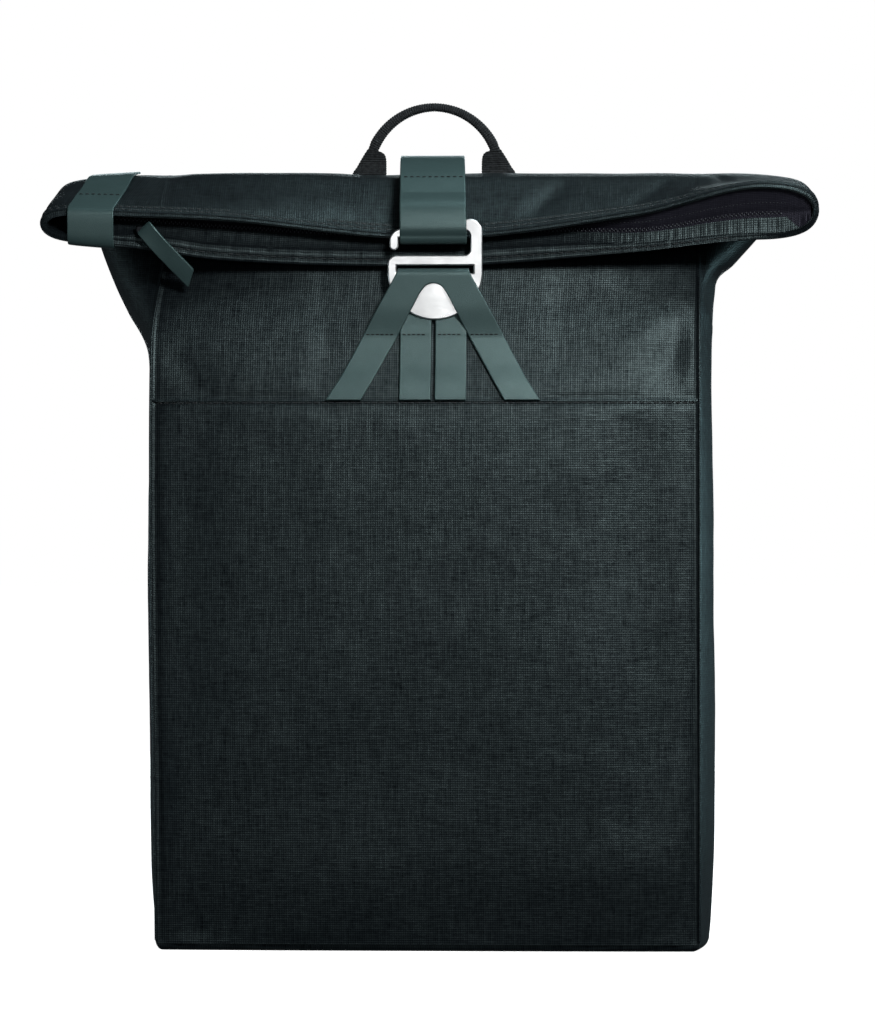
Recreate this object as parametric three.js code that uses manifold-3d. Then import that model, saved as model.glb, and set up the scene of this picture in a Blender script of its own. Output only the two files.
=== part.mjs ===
// Laptop backpack with a rolled, zipped top, standing on its base.
// Millimetres, +Z up, front towards -Y, +X to the viewer's right of the front.
// The cloth is one tube lofted along a spine: it rises from the base, folds forward over the top and
// ends at the mouth. Each sewn panel is a stretch of that tube with its own wall.
import * as THREE from "three";
import { mergeVertices } from "three/addons/utils/BufferGeometryUtils.js";
import Module from "manifold-3d";

const wasm = await Module();
wasm.setup();

// Materials and clearances
const CLOTH = 1.8; // coated woven shell
const HEM = 2.8; // folded and stitched edge of the mouth
const LEATHER = 2;
const WEBBING = 2.2;
const BACK_PAD = 5; // foam behind the wearer's back, at the middle of the panel
const GAP = 0.35; // between neighbouring pieces

// Body
const ORIGIN_SHIFT = 7.93; // moves the middle of the whole part, straps included, over the origin
const SEAM = 153.5; // half the width between the side seams
const BASE_RADIUS = 4; // rounding between the base and the walls
const POCKET_PROUD = 1; // the pocket panel stands in front of the panel above it
const POCKET_EDGE = 14; // width over which it comes flush with the side seams
const LIFT_REACH = 0.3; // a raised stretch of the mouth also reaches this share further forward

// One row for each section of the tube. y, z: its middle. turn: heading of the spine, 0 up, 90 forward.
// depth: half the distance between front and back at the seams. left, right: half width at the outermost
// line of each gusset. blunt: roundness there, 1 a shallow arc, 6 a round end. front, back: crown of those
// panels. lip: share of the mouth's own shape.
const STATIONS = [
  { y: 0, z: 4, turn: 0, depth: 61, left: 160, right: 160, blunt: 1, front: 0.5, back: 0, lip: 0 },
  { y: -0.5, z: 60, turn: 0, depth: 63.5, left: 163.2, right: 162.8, blunt: 1, front: 5, back: 2, lip: 0 },
  { y: -0.5, z: 150, turn: 0, depth: 64, left: 164, right: 163.6, blunt: 1, front: 9, back: 3, lip: 0 },
  { y: 0, z: 240, turn: 0, depth: 63, left: 163.8, right: 163.4, blunt: 1, front: 8, back: 3, lip: 0 },
  { y: 1, z: 312, turn: 0, depth: 60, left: 163.4, right: 163, blunt: 1, front: 3, back: 2.5, lip: 0 },
  { y: 2, z: 338, turn: 0, depth: 57.5, left: 165, right: 163, blunt: 1, front: 1.5, back: 2, lip: 0 },
  { y: 5, z: 365, turn: 0, depth: 50.5, left: 178, right: 163, blunt: 1.2, front: 0, back: 1, lip: 0 },
  { y: 7.8, z: 379, turn: 0, depth: 44.5, left: 185, right: 164.6, blunt: 1.4, front: 0, back: 0.4, lip: 0 },
  { y: 11, z: 393, turn: 0, depth: 37.5, left: 191, right: 175, blunt: 1.6, front: 0, back: 0, lip: 0 },
  { y: 16, z: 418, turn: 0, depth: 20, left: 200, right: 196, blunt: 2.2, front: 0, back: 0, lip: 0 },
  { y: 17.5, z: 428.5, turn: 0, depth: 10.5, left: 203, right: 202, blunt: 3, front: 0, back: 0, lip: 0 },
  { y: 16, z: 434.5, turn: 25, depth: 7.5, left: 204, right: 204, blunt: 3, front: 0, back: 0, lip: 0 },
  { y: 8, z: 439.5, turn: 90, depth: 6, left: 207, right: 207, blunt: 3, front: 0, back: 0, lip: 0 },
  { y: -6, z: 437, turn: 120, depth: 6.5, left: 213.5, right: 214.5, blunt: 4, front: 0, back: 0, lip: 0.03 },
  { y: -23, z: 424, turn: 126, depth: 7.5, left: 218, right: 220, blunt: 5, front: 0, back: 0, lip: 0.3 },
  { y: -37, z: 409.5, turn: 112, depth: 8.5, left: 221, right: 222, blunt: 6, front: 0, back: 0, lip: 0.72 },
  { y: -48, z: 398.5, turn: 96, depth: 8.9, left: 222, right: 222, blunt: 6, front: 0, back: 0, lip: 1 },
];
const BASE = 0; // row where the walls meet the base
const POCKET = 4; // row of the pocket's top edge
const YOKE = 8; // row of the seam that ends the padded back
const FOLD = 10; // row where the tube starts to fold forward
const MOUTH = STATIONS.length - 1;

// The mouth across the bag. lift: height of its middle above the middle of the bag. open: half its opening.
const MOUTH_EDGE = [
  { x: -222, lift: 12, open: 9.5 },
  { x: -178, lift: 13.5, open: 9.4 },
  { x: -118, lift: 6.5, open: 8.6 },
  { x: 0, lift: 0, open: 8.9 },
  { x: 118, lift: 10.4, open: 11.4 },
  { x: 190, lift: 22, open: 15 },
  { x: 222, lift: 20, open: 14 },
];

// Closure: a strap over the roll, a flat hook, and a forked strap sewn to the front
const CLOSURE_X = 2.7; // the closure sits a little right of the middle
const STRAP_WIDTH = 38;
const HOOK_X = 1; // the hook has slipped this far along the strap's loop
const HOOK_Y = -55.2;
const HOOK_THICK = 2.8;
const HOOK_RADIUS = 27; // round lower end, and half the hook's width
const HOOK_BOTTOM = 358.6;
const HOOK_BAR = 5.7; // height of the bars
const HOOK_SIDE = 7; // width of the sides
const SLOT_HEIGHT = 4.5;
const CROSSBAR_TOP = 394.4;
const ARM_TOP = 413.3; // upper arm, which holds the strap, at its middle
const ARM_SLOPE = 0.1; // it rises to the right
const GATE = 2.9; // gap under the arm's turned-down end
const FORK_SEWN = 348.4; // stitch line across the forked strap
const FORK_END = 312.6; // where its ends meet the pocket's edge
// Rows of one half of the forked strap's front: outer and inner edge, from the hook down
const FORK_ROWS = [
  { z: 384.4, outer: 21.4, inner: -0.5 },
  { z: 379.2, outer: 24.2, inner: -0.5 },
  { z: 378.8, outer: 24.4, inner: 3.6 },
  { z: 377, outer: 25.4, inner: 5.8 },
  { z: 373, outer: 27.6, inner: 8 },
  { z: 361, outer: 34.1, inner: 14.2 },
  { z: 355, outer: 37.2, inner: 17.2 },
  { z: 348.4, outer: 40.6, inner: 20.6 },
  { z: 338, outer: 46, inner: 26.4 },
  { z: 325, outer: 53, inner: 33.6 },
  { z: 312.6, outer: 60, inner: 40.4 },
];
const TAIL_INNER = 1.7; // the two straight tails behind the fork
const TAIL_OUTER = 19;

// Carry handle
const HANDLE_X = -1;
const HANDLE_Y = 37;
const HANDLE_CENTRE_Z = 446.5;
const HANDLE_RADIUS = 39.3; // middle of the folded webbing
const HANDLE_BAND = 5.3; // folded webbing seen from the front
const HANDLE_GRIP = 11; // and seen from above
const HANDLE_SPRING = 22; // angle above the horizon where the arch leaves its flat ends
// Flat end of the handle: inner and outer edge
const HANDLE_ROWS = [
  { z: 447, inner: 26.7, outer: 47.6 },
  { z: 455, inner: 26.5, outer: 42.8 },
  { z: 460, inner: 27.6, outer: 40.2 },
  { z: 463.5, inner: 32, outer: 39 },
];

// Zip
const ZIP_HALF = 203;
const TAPE_AT = MOUTH - 0.3; // place along the spine, in rows
const TEETH_AT = MOUTH - 0.14;
const SLIDER_AT = MOUTH;
const TAPE_CLEAR = 1; // the tape is sewn inside the hems
const TEETH_HALF = 2.2;
const SLIDER_X = -163;
const PULLER_WIDTH = 10;
const END_TAB = { from: -206, to: -182.5 }; // leather around the mouth's left end

// Shoulder straps, right one; the left one is its mirror image
const PAD_WIDTH = 56;
const PAD_THICK = 8;
const PAD_TAPER = 0.8; // width of its lower end against its upper end
const PAD_PATH = [
  { x: 39, y: 56, z: 385 },
  { x: 40, y: 61.8, z: 366 },
  { x: 44.5, y: 74, z: 334 },
  { x: 54, y: 85, z: 284 },
  { x: 65, y: 85.5, z: 232 },
  { x: 73.5, y: 80, z: 194 },
  { x: 78.3, y: 76, z: 173 },
];
const STRAP_WEB = 1.8;
const STRAP_WEB_WIDTH = 25;
const ADJUSTER = { x: 82.7, y: 76, z: 155.5, tilt: 14 }; // middle, and lean towards the other strap
const ADJUSTER_WIDTH = 36;
const ADJUSTER_BAR = 4;
const ADJUSTER_SLOT = 8.5;
const ADJUSTER_THICK = 3;

const rad = THREE.MathUtils.degToRad;
const lerp = THREE.MathUtils.lerp;
const point = (x, y, z) => new THREE.Vector3(x, y, z);
const span = (from, to, cells) => Array.from({ length: cells + 1 }, (_, i) => lerp(from, to, i / cells));

// Smooth curve through a table that never swells past its rows
function monotone(xs, ys, x) {
  const last = xs.length - 1;
  const at = Math.min(Math.max(x, xs[0]), xs[last]);
  let i = 0;
  while (i < last - 1 && at > xs[i + 1]) i += 1;
  const width = (k) => xs[k + 1] - xs[k];
  const rise = (k) => (ys[k + 1] - ys[k]) / width(k);
  const slope = (k) => {
    if (k === 0) return rise(0);
    if (k === last) return rise(last - 1);
    const before = rise(k - 1);
    const after = rise(k);
    if (before * after <= 0) return 0;
    const a = 2 * width(k) + width(k - 1);
    const b = width(k) + 2 * width(k - 1);
    return (a + b) / (a / before + b / after);
  };
  const u = (at - xs[i]) / width(i);
  const rest = 1 - u;
  return (
    ys[i] * (1 + 2 * u) * rest * rest +
    slope(i) * width(i) * u * rest * rest +
    ys[i + 1] * u * u * (3 - 2 * u) -
    slope(i + 1) * width(i) * u * u * rest
  );
}

function rowAt(table, keys, at) {
  const columns = Object.keys(table[0]);
  return Object.fromEntries(
    columns.map((name) => [name, monotone(keys, table.map((row) => row[name]), at)]),
  );
}

const stationKeys = STATIONS.map((_, i) => i);
const mouthKeys = MOUTH_EDGE.map((row) => row.x);
const station = (s) => rowAt(STATIONS, stationKeys, s);
const mouthEdge = (x) => rowAt(MOUTH_EDGE, mouthKeys, x);

// The cloth tube: a point q from the middle surface at x, q positive towards the back panel
function place(row, x, q) {
  const lift = row.lip * mouthEdge(x).lift;
  const turn = rad(row.turn);
  return point(
    x,
    row.y - LIFT_REACH * lift + q * Math.cos(turn),
    row.z + lift + q * Math.sin(turn),
  );
}

const halfDepth = (row, x) => lerp(row.depth, mouthEdge(x).open, row.lip);
const wallAt = (s) => lerp(CLOTH, HEM, THREE.MathUtils.smoothstep(s, MOUTH - 0.6, MOUTH - 0.2));

// across: -1 at the left seam, 1 at the right one
function frontPoint(s, across, wall, proud) {
  const row = station(s);
  const x = across * (SEAM - wall);
  return place(row, x, wall - halfDepth(row, x) - row.front * (1 - across * across) - proud);
}

function backPoint(s, across, wall, padding) {
  const row = station(s);
  const x = across * (SEAM - wall);
  return place(row, x, halfDepth(row, x) - wall + (row.back - padding) * (1 - across * across));
}

// around: -1 at the front seam, 0 at the outermost line, 1 at the back seam
function gussetPoint(s, side, around, wall) {
  const row = station(s);
  const tip = side < 0 ? row.left : row.right;
  const out = Math.max(0, Math.cos((around * Math.PI) / 2));
  const x = side * (SEAM - wall + (tip - SEAM) * out);
  return place(row, x, (halfDepth(row, x) - wall) * Math.sign(around) * Math.sqrt(1 - out ** row.blunt));
}

// Half the clear opening inside the tube at x
function clearHalf(row, x, wall) {
  const tip = x < 0 ? row.left : row.right;
  const out = Math.max(0, Math.abs(x) - SEAM + wall) / (tip - SEAM);
  return (halfDepth(row, x) - wall) * Math.sqrt(1 - out ** row.blunt);
}

// Outer surface of the upper front panel at a height below the fold
function frontSurface(x, z) {
  let low = POCKET;
  let high = YOKE + 1;
  for (let i = 0; i < 24; i += 1) {
    const middle = (low + high) / 2;
    if (station(middle).z < z) low = middle;
    else high = middle;
  }
  return frontPoint(low, x / SEAM, 0, 0).y;
}

// Mesh helpers
function closed(points, index) {
  const [a, b, c] = [point(), point(), point()];
  let volume = 0;
  for (let i = 0; i < index.length; i += 3) {
    a.copy(points[index[i]]);
    b.copy(points[index[i + 1]]);
    c.copy(points[index[i + 2]]);
    volume += a.dot(b.cross(c));
  }
  if (volume < 0) index.reverse();
  return new THREE.BufferGeometry().setFromPoints(points).setIndex(index);
}

// Solid between two matching grids of points
function slab(outer, inner) {
  const rows = outer.length;
  const cols = outer[0].length;
  const at = (face, r, c) => (face * rows + r) * cols + c;
  const index = [];
  const quad = (a, b, c, d) => index.push(a, b, c, a, c, d);
  for (let r = 0; r < rows - 1; r += 1) {
    for (let c = 0; c < cols - 1; c += 1) {
      quad(at(0, r, c), at(0, r, c + 1), at(0, r + 1, c + 1), at(0, r + 1, c));
      quad(at(1, r, c), at(1, r + 1, c), at(1, r + 1, c + 1), at(1, r, c + 1));
    }
    quad(at(0, r, 0), at(0, r + 1, 0), at(1, r + 1, 0), at(1, r, 0));
    quad(at(0, r, cols - 1), at(1, r, cols - 1), at(1, r + 1, cols - 1), at(0, r + 1, cols - 1));
  }
  for (let c = 0; c < cols - 1; c += 1) {
    quad(at(0, 0, c), at(1, 0, c), at(1, 0, c + 1), at(0, 0, c + 1));
    quad(at(0, rows - 1, c), at(0, rows - 1, c + 1), at(1, rows - 1, c + 1), at(1, rows - 1, c));
  }
  return closed([...outer.flat(), ...inner.flat()], index);
}

// Solid through matching rings of points, capped at both ends
function barrel(rings) {
  const count = rings[0].length;
  const points = rings.flat();
  const middle = (ring) => ring.reduce((sum, p) => sum.add(p), point(0, 0, 0)).divideScalar(count);
  points.push(middle(rings[0]), middle(rings[rings.length - 1]));
  const [first, last] = [points.length - 2, points.length - 1];
  const top = (rings.length - 1) * count;
  const index = [];
  for (let k = 0; k < count; k += 1) {
    const next = (k + 1) % count;
    for (let r = 0; r < top; r += count) {
      index.push(r + k, r + next, r + count + next, r + k, r + count + next, r + count + k);
    }
    index.push(first, next, k, last, top + k, top + next);
  }
  return closed(points, index);
}

function toSolid(geometry) {
  const bare = geometry.clone().deleteAttribute("normal").deleteAttribute("uv");
  const merged = mergeVertices(bare);
  return new wasm.Manifold(
    new wasm.Mesh({
      numProp: 3,
      vertProperties: merged.attributes.position.array,
      triVerts: new Uint32Array(merged.index.array),
    }),
  );
}

function joined(...parts) {
  const mesh = parts.map(toSolid).reduce((a, b) => a.add(b)).getMesh();
  return new THREE.BufferGeometry()
    .setAttribute("position", new THREE.BufferAttribute(mesh.vertProperties, 3))
    .setIndex(new THREE.BufferAttribute(mesh.triVerts, 1));
}

const grid = (rows, columns, make) => rows.map((r) => columns.map((c) => make(r, c)));
const toward = (p, q, distance) => p.add(q.clone().sub(p).setLength(distance));

// Draws every edge of a panel in by half the gap that it keeps to its neighbours
function trimmed(cells) {
  const end = cells.length - 1;
  for (const row of cells) {
    toward(row[0], row[1], GAP / 2);
    toward(row[row.length - 1], row[row.length - 2], GAP / 2);
  }
  cells[0].forEach((p, c) => toward(p, cells[1][c], GAP / 2));
  cells[end].forEach((p, c) => toward(p, cells[end - 1][c], GAP / 2));
  return cells;
}

// Band of even thickness along a path of {y, z}, straight across from one x to the other
function band(path, fromX, toX, thick) {
  const face = (side) =>
    path.map((p, i) => {
      const before = path[Math.max(i - 1, 0)];
      const after = path[Math.min(i + 1, path.length - 1)];
      const along = new THREE.Vector2(after.y - before.y, after.z - before.z).normalize();
      const y = p.y - (along.y * side * thick) / 2;
      const z = p.z + (along.x * side * thick) / 2;
      return [point(fromX, y, z), point(toX, y, z)];
    });
  return slab(face(1), face(-1));
}

const smoothPath = (points, cells) =>
  new THREE.SplineCurve(points.map((p) => new THREE.Vector2(p.y, p.z)))
    .getPoints(cells)
    .map((p) => ({ y: p.x, z: p.y }));

// The path beside another one, on the side that faces the bag
function beside(path, distance) {
  return path.map((p, i) => {
    const before = path[Math.max(i - 1, 0)];
    const after = path[Math.min(i + 1, path.length - 1)];
    const along = new THREE.Vector2(after.y - before.y, after.z - before.z).normalize();
    return { y: p.y - along.y * distance, z: p.z + along.x * distance };
  });
}

// Half turn around a bar that runs along X
const halfTurn = (y, z, radius, from, to) =>
  span(from, to, 8).map((a) => ({
    y: y + radius * Math.cos(rad(a)),
    z: z + radius * Math.sin(rad(a)),
  }));

// Panels of the cloth tube
const ACROSS = span(-1, 1, 12);
const AROUND = span(-1, 1, 8);
const LOWER_ROWS = span(BASE, POCKET, 8);
const UPPER_ROWS = [...span(POCKET, FOLD, 12), ...span(FOLD, MOUTH, 15).slice(1)];
const ALL_ROWS = [...LOWER_ROWS, ...UPPER_ROWS.slice(1)];

function pocketPanel() {
  const proud = (across) =>
    POCKET_PROUD * THREE.MathUtils.smoothstep((1 - Math.abs(across)) * SEAM, 0, POCKET_EDGE);
  const outer = grid(LOWER_ROWS, ACROSS, (s, a) => frontPoint(s, a, 0, proud(a)));
  const inner = grid(LOWER_ROWS, ACROSS, (s, a) => frontPoint(s, a, CLOTH, 0));
  return slab(trimmed(outer), trimmed(inner));
}

function upperFront() {
  const outer = grid(UPPER_ROWS, ACROSS, (s, a) => frontPoint(s, a, 0, 0));
  const inner = grid(UPPER_ROWS, ACROSS, (s, a) => frontPoint(s, a, wallAt(s), 0));
  return slab(trimmed(outer), trimmed(inner));
}

function gusset(side) {
  const outer = grid(ALL_ROWS, AROUND, (s, a) => gussetPoint(s, side, a, 0));
  const inner = grid(ALL_ROWS, AROUND, (s, a) => gussetPoint(s, side, a, wallAt(s)));
  return slab(trimmed(outer), trimmed(inner));
}

function backPanel() {
  const rows = ALL_ROWS.filter((s) => s <= YOKE);
  const across = span(-1, 1, 8);
  const outer = grid(rows, across, (s, a) => backPoint(s, a, 0, 0));
  const inner = grid(rows, across, (s, a) => backPoint(s, a, CLOTH, BACK_PAD));
  return slab(trimmed(outer), trimmed(inner));
}

function rollOuter() {
  const rows = ALL_ROWS.filter((s) => s >= YOKE);
  const outer = grid(rows, ACROSS, (s, a) => backPoint(s, a, 0, 0));
  const inner = grid(rows, ACROSS, (s, a) => backPoint(s, a, wallAt(s), 0));
  return slab(trimmed(outer), trimmed(inner));
}

// Shallow tray: flat underneath, with a rounded rim that meets the walls
function basePanel() {
  const side = span(-1, 1, 4);
  const loop = [
    ...side.map((a) => frontPoint(BASE, a, 0, 0)),
    ...side.slice(1).map((a) => gussetPoint(BASE, 1, a, 0)),
    ...side.slice(0, -1).reverse().map((a) => backPoint(BASE, a, 0, 0)),
    ...side.slice(1, -1).reverse().map((a) => gussetPoint(BASE, -1, a, 0)),
  ];
  const { left, depth } = STATIONS[BASE];
  const ring = (inset, z) => loop.map((p) => point(p.x * (1 - inset / left), p.y * (1 - inset / depth), z));
  const rim = (radius, angle) =>
    ring(BASE_RADIUS - radius * Math.cos(rad(angle)), BASE_RADIUS - GAP / 2 - radius * Math.sin(rad(angle)));
  const outside = [...span(90, 0, 3)].map((angle) => rim(BASE_RADIUS - GAP / 2, angle));
  const inside = [...span(0, 90, 3)].map((angle) => rim(BASE_RADIUS - GAP / 2 - CLOTH, angle));
  return barrel([...outside, ...inside]);
}

// Closure strap: from the yoke over the roll, down the front, round the hook's arm and back up behind itself
function closureStrap() {
  const over = smoothPath(
    [
      { y: 50, z: 394.5 },
      { y: 38.6, z: 418 },
      { y: 31, z: 437 },
      { y: 19, z: 450 },
      { y: 5, z: 455 },
      { y: -13, z: 452.5 },
      { y: -31, z: 443 },
      { y: -45, z: 431 },
    ],
    28,
  );
  const radius = HOOK_THICK / 2 + GAP + LEATHER / 2;
  const armRise = (ARM_SLOPE * STRAP_WIDTH) / 2;
  const armHigh = ARM_TOP + armRise + 0.5;
  const armFoot = ARM_TOP - HOOK_BAR - armRise - 0.5;
  const front = smoothPath(
    [
      over[over.length - 1],
      { y: -54, z: 422.5 },
      { y: HOOK_Y - radius, z: armHigh },
      { y: HOOK_Y - radius, z: armFoot + 1 },
    ],
    10,
  );
  const turn = halfTurn(HOOK_Y, armFoot, radius, 180, 360);
  const behind = beside(front.slice(0, 5), LEATHER + GAP).reverse();
  const path = [...over, ...front.slice(1), ...turn, { y: HOOK_Y + radius, z: armHigh }, ...behind];
  return band(path, -STRAP_WIDTH / 2, STRAP_WIDTH / 2, LEATHER);
}

// Flat hook: a round-ended plate with a slot for the forked strap, and an open arm for the closure strap
function hook() {
  const half = HOOK_RADIUS;
  const within = half - HOOK_SIDE;
  const centre = HOOK_BOTTOM + HOOK_RADIUS;
  const corner = 7.5;
  const soft = 3.5;
  const edge = 5;
  const armTop = (x) => ARM_TOP + ARM_SLOPE * x;
  const tip = 2.6; // half the width of the arm's turned-down end
  const tipX = 1 - half + tip;
  const tipZ = CROSSBAR_TOP + GATE + tip;
  const shape = new THREE.Shape();
  shape.absarc(0, centre, half, Math.PI, 2 * Math.PI, false);
  shape.lineTo(half, armTop(half) - corner);
  shape.absarc(half - corner, armTop(half) - corner, corner, 0, Math.PI / 2, false);
  shape.absarc(tipX - tip + corner, armTop(-half) - corner, corner, Math.PI / 2, Math.PI, false);
  shape.absarc(tipX, tipZ, tip, Math.PI, 2 * Math.PI, false);
  shape.lineTo(tipX + tip, armTop(tipX) - HOOK_BAR);
  shape.absarc(within - soft, armTop(within) - HOOK_BAR - soft, soft, Math.PI / 2, 0, true);
  shape.absarc(within - soft, CROSSBAR_TOP + soft, soft, 0, -Math.PI / 2, true);
  shape.absarc(edge - half, CROSSBAR_TOP - edge, edge, Math.PI / 2, Math.PI, false);
  const slotTop = CROSSBAR_TOP - HOOK_BAR;
  const slotHalf = half - 5.1;
  const slot = new THREE.Path();
  slot.moveTo(-slotHalf, slotTop);
  slot.lineTo(slotHalf, slotTop);
  slot.lineTo(slotHalf, slotTop - SLOT_HEIGHT);
  slot.lineTo(-slotHalf, slotTop - SLOT_HEIGHT);
  slot.closePath();
  shape.holes.push(slot);
  const cut = { depth: HOOK_THICK, bevelEnabled: false, curveSegments: 8 };
  const plate = new THREE.ExtrudeGeometry(shape, cut);
  return plate.rotateX(Math.PI / 2).translate(HOOK_X, HOOK_Y + HOOK_THICK / 2, 0);
}

// Forked strap: it lies on the hook's plate, is sewn down at the stitch line and follows the front below it
const plateFront = HOOK_Y - HOOK_THICK / 2 - GAP - LEATHER / 2;
const plateBack = HOOK_Y + HOOK_THICK / 2 + GAP + LEATHER / 2;
const seated = (x, z) => frontSurface(x + CLOSURE_X, z) - GAP - LEATHER / 2;

function leatherY(x, z, overPlate) {
  const share = THREE.MathUtils.smoothstep(z, FORK_SEWN, HOOK_BOTTOM - 0.5);
  return lerp(seated(x, Math.min(z, FORK_SEWN)), overPlate, share);
}

function leatherSheet(rows, cells, overPlate) {
  const face = (offset) =>
    rows.map((row) =>
      span(row.outer, row.inner, cells).map((x) =>
        point(x, leatherY(x, row.z, overPlate) + offset, row.z),
      ),
    );
  return slab(face(-LEATHER / 2), face(LEATHER / 2));
}

const mirrored = (rows) => rows.map((row) => ({ z: row.z, outer: -row.outer, inner: -row.inner }));

function forkedStrap() {
  const top = FORK_ROWS[0].z;
  const tailRows = [...span(top, FORK_SEWN, 6), ...span(FORK_SEWN, FORK_END, 4).slice(1)].map((z) => ({
    z,
    outer: TAIL_OUTER,
    inner: TAIL_INNER,
  }));
  const bend = halfTurn(HOOK_Y, top - 0.2, plateBack - HOOK_Y, 180, 0);
  const ends = [{ y: plateFront, z: top - 1.2 }, ...bend, { y: plateBack, z: top - 1.2 }];
  const foldHalf = FORK_ROWS[0].outer - 1.2;
  return joined(
    leatherSheet(FORK_ROWS, 3, plateFront),
    leatherSheet(mirrored(FORK_ROWS), 3, plateFront),
    band(ends, -foldHalf, foldHalf, LEATHER),
    leatherSheet(tailRows, 2, plateBack),
    leatherSheet(mirrored(tailRows), 2, plateBack),
  );
}

// Carry handle: webbing sewn flat to the back, folded double in the arch
function handle() {
  const flat = (side) => {
    const rows = HANDLE_ROWS.map((row) => [side * row.inner, side * row.outer].map((x) => [x, row.z]));
    const face = (y) => rows.map((row) => row.map(([x, z]) => point(x, y, z)));
    const root = smoothPath(
      [
        { y: 50.2, z: 395 },
        { y: 39, z: 418 },
        { y: HANDLE_Y, z: 434 },
        { y: HANDLE_Y, z: HANDLE_ROWS[0].z + 0.5 },
      ],
      8,
    );
    const { inner, outer } = HANDLE_ROWS[0];
    return joined(
      slab(face(HANDLE_Y - WEBBING / 2), face(HANDLE_Y + WEBBING / 2)),
      band(root, side * inner, side * outer, WEBBING),
    );
  };
  const corners = [
    [-1, -0.55], [-1, 0.55], [-0.6, 1], [0.6, 1], [1, 0.55], [1, -0.55], [0.6, -1], [-0.6, -1],
  ];
  const rings = span(HANDLE_SPRING, 180 - HANDLE_SPRING, 20).map((angle) =>
    corners.map(([radial, along]) => {
      const reach = HANDLE_RADIUS + (radial * HANDLE_BAND) / 2;
      return point(
        reach * Math.cos(rad(angle)),
        HANDLE_Y + (along * HANDLE_GRIP) / 2,
        HANDLE_CENTRE_Z + reach * Math.sin(rad(angle)),
      );
    }),
  );
  return joined(barrel(rings), flat(-1), flat(1));
}

// Zip: a tape across the mouth, a row of teeth in front of it, a slider and its leather puller
const ZIP_COLUMNS = span(-ZIP_HALF, ZIP_HALF, 28);

function zipTape() {
  const face = (s) =>
    grid([-1, 0, 1], ZIP_COLUMNS, (v, x) => {
      const row = station(s);
      return place(row, x, v * (clearHalf(row, x, wallAt(s)) - TAPE_CLEAR));
    });
  return slab(face(TAPE_AT), face(TAPE_AT - 0.08));
}

function zipTeeth() {
  const face = (s) => grid([-1, 1], ZIP_COLUMNS, (v, x) => place(station(s), x, v * TEETH_HALF));
  return slab(face(TEETH_AT), face(TEETH_AT - 0.1));
}

function zipSlider() {
  const length = 12;
  const wide = 4.2;
  const narrow = 3;
  const outline = new THREE.Shape();
  outline.moveTo(-length / 2, -narrow);
  outline.lineTo(length / 2, -wide);
  outline.lineTo(length / 2, wide);
  outline.lineTo(-length / 2, narrow);
  outline.closePath();
  const body = new THREE.ExtrudeGeometry(outline, {
    depth: 1.2, bevelEnabled: true, bevelThickness: 0.6, bevelSize: 0.5, bevelSegments: 1,
  });
  const seat = place(station(SLIDER_AT), SLIDER_X, 0);
  return body.rotateX(Math.PI / 2).translate(seat.x, seat.y + 0.6, seat.z);
}

function zipPuller() {
  const seat = place(station(SLIDER_AT), SLIDER_X, 0);
  const path = new THREE.CatmullRomCurve3([
    point(seat.x, seat.y - 3, seat.z - 0.5),
    point(seat.x + 2.5, seat.y - 5.6, seat.z - 4.5),
    point(seat.x + 9, seat.y - 6.4, seat.z - 14),
    point(seat.x + 25.5, seat.y - 6, seat.z - 31.5),
  ]).getPoints(9);
  const across = point(0.727, 0, 0.686).multiplyScalar(PULLER_WIDTH / 2);
  const face = (side) =>
    path.map((p, i) => {
      const along = path[Math.min(i + 1, 9)].clone().sub(path[Math.max(i - 1, 0)]);
      const out = across.clone().cross(along).setLength((side * LEATHER) / 2);
      return [-1, 1].map((edge) => p.clone().addScaledVector(across, edge).add(out));
    });
  return slab(face(1), face(-1));
}

// Leather around the left end of the mouth: over the upper lip, in front of the zip and under the lower lip
function endTab() {
  const offset = GAP + LEATHER / 2;
  const lips = [
    ...span(MOUTH - 2.5, MOUTH, 6).map((s) => ({ s, side: 1, ahead: 0 })),
    { s: MOUTH, side: 0.85, ahead: 2.2 },
    { s: MOUTH, side: 0.45, ahead: 3.4 },
    { s: MOUTH, side: -0.45, ahead: 3.4 },
    { s: MOUTH, side: -0.85, ahead: 2.2 },
    ...span(MOUTH, MOUTH - 1.6, 4).map((s) => ({ s, side: -1, ahead: 0 })),
  ];
  const middle = (step, x) => {
    const row = station(step.s);
    const heading = rad(row.turn);
    const half = clearHalf(row, x, 0) + offset;
    const p = place(row, x, step.side * half);
    return p.add(point(0, -Math.sin(heading), Math.cos(heading)).multiplyScalar(step.ahead));
  };
  const face = (side) =>
    lips.map((_, i) =>
      span(END_TAB.from, END_TAB.to, 3).map((x) => {
        const p = middle(lips[i], x);
        const before = middle(lips[Math.max(i - 1, 0)], x);
        const after = middle(lips[Math.min(i + 1, lips.length - 1)], x);
        const out = after.sub(before).cross(point(1, 0, 0)).setLength((side * LEATHER) / 2);
        return p.add(out);
      }),
    );
  return slab(face(1), face(-1));
}

// Shoulder straps: a padded upper part that ends in a loop, a three-bar adjuster and a lower webbing.
// The loop, adjuster and webbing are made upright around the adjuster's middle and then leaned.
const webReach = ADJUSTER_THICK / 2 + GAP + STRAP_WEB / 2;
const upperBar = ADJUSTER_BAR / 2 + ADJUSTER_SLOT; // foot of the adjuster's upper bar

function leaned(geometry, side) {
  const turn = new THREE.Matrix4().makeRotationY(-side * rad(ADJUSTER.tilt));
  return geometry.applyMatrix4(turn.setPosition(side * ADJUSTER.x, ADJUSTER.y, ADJUSTER.z));
}

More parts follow.
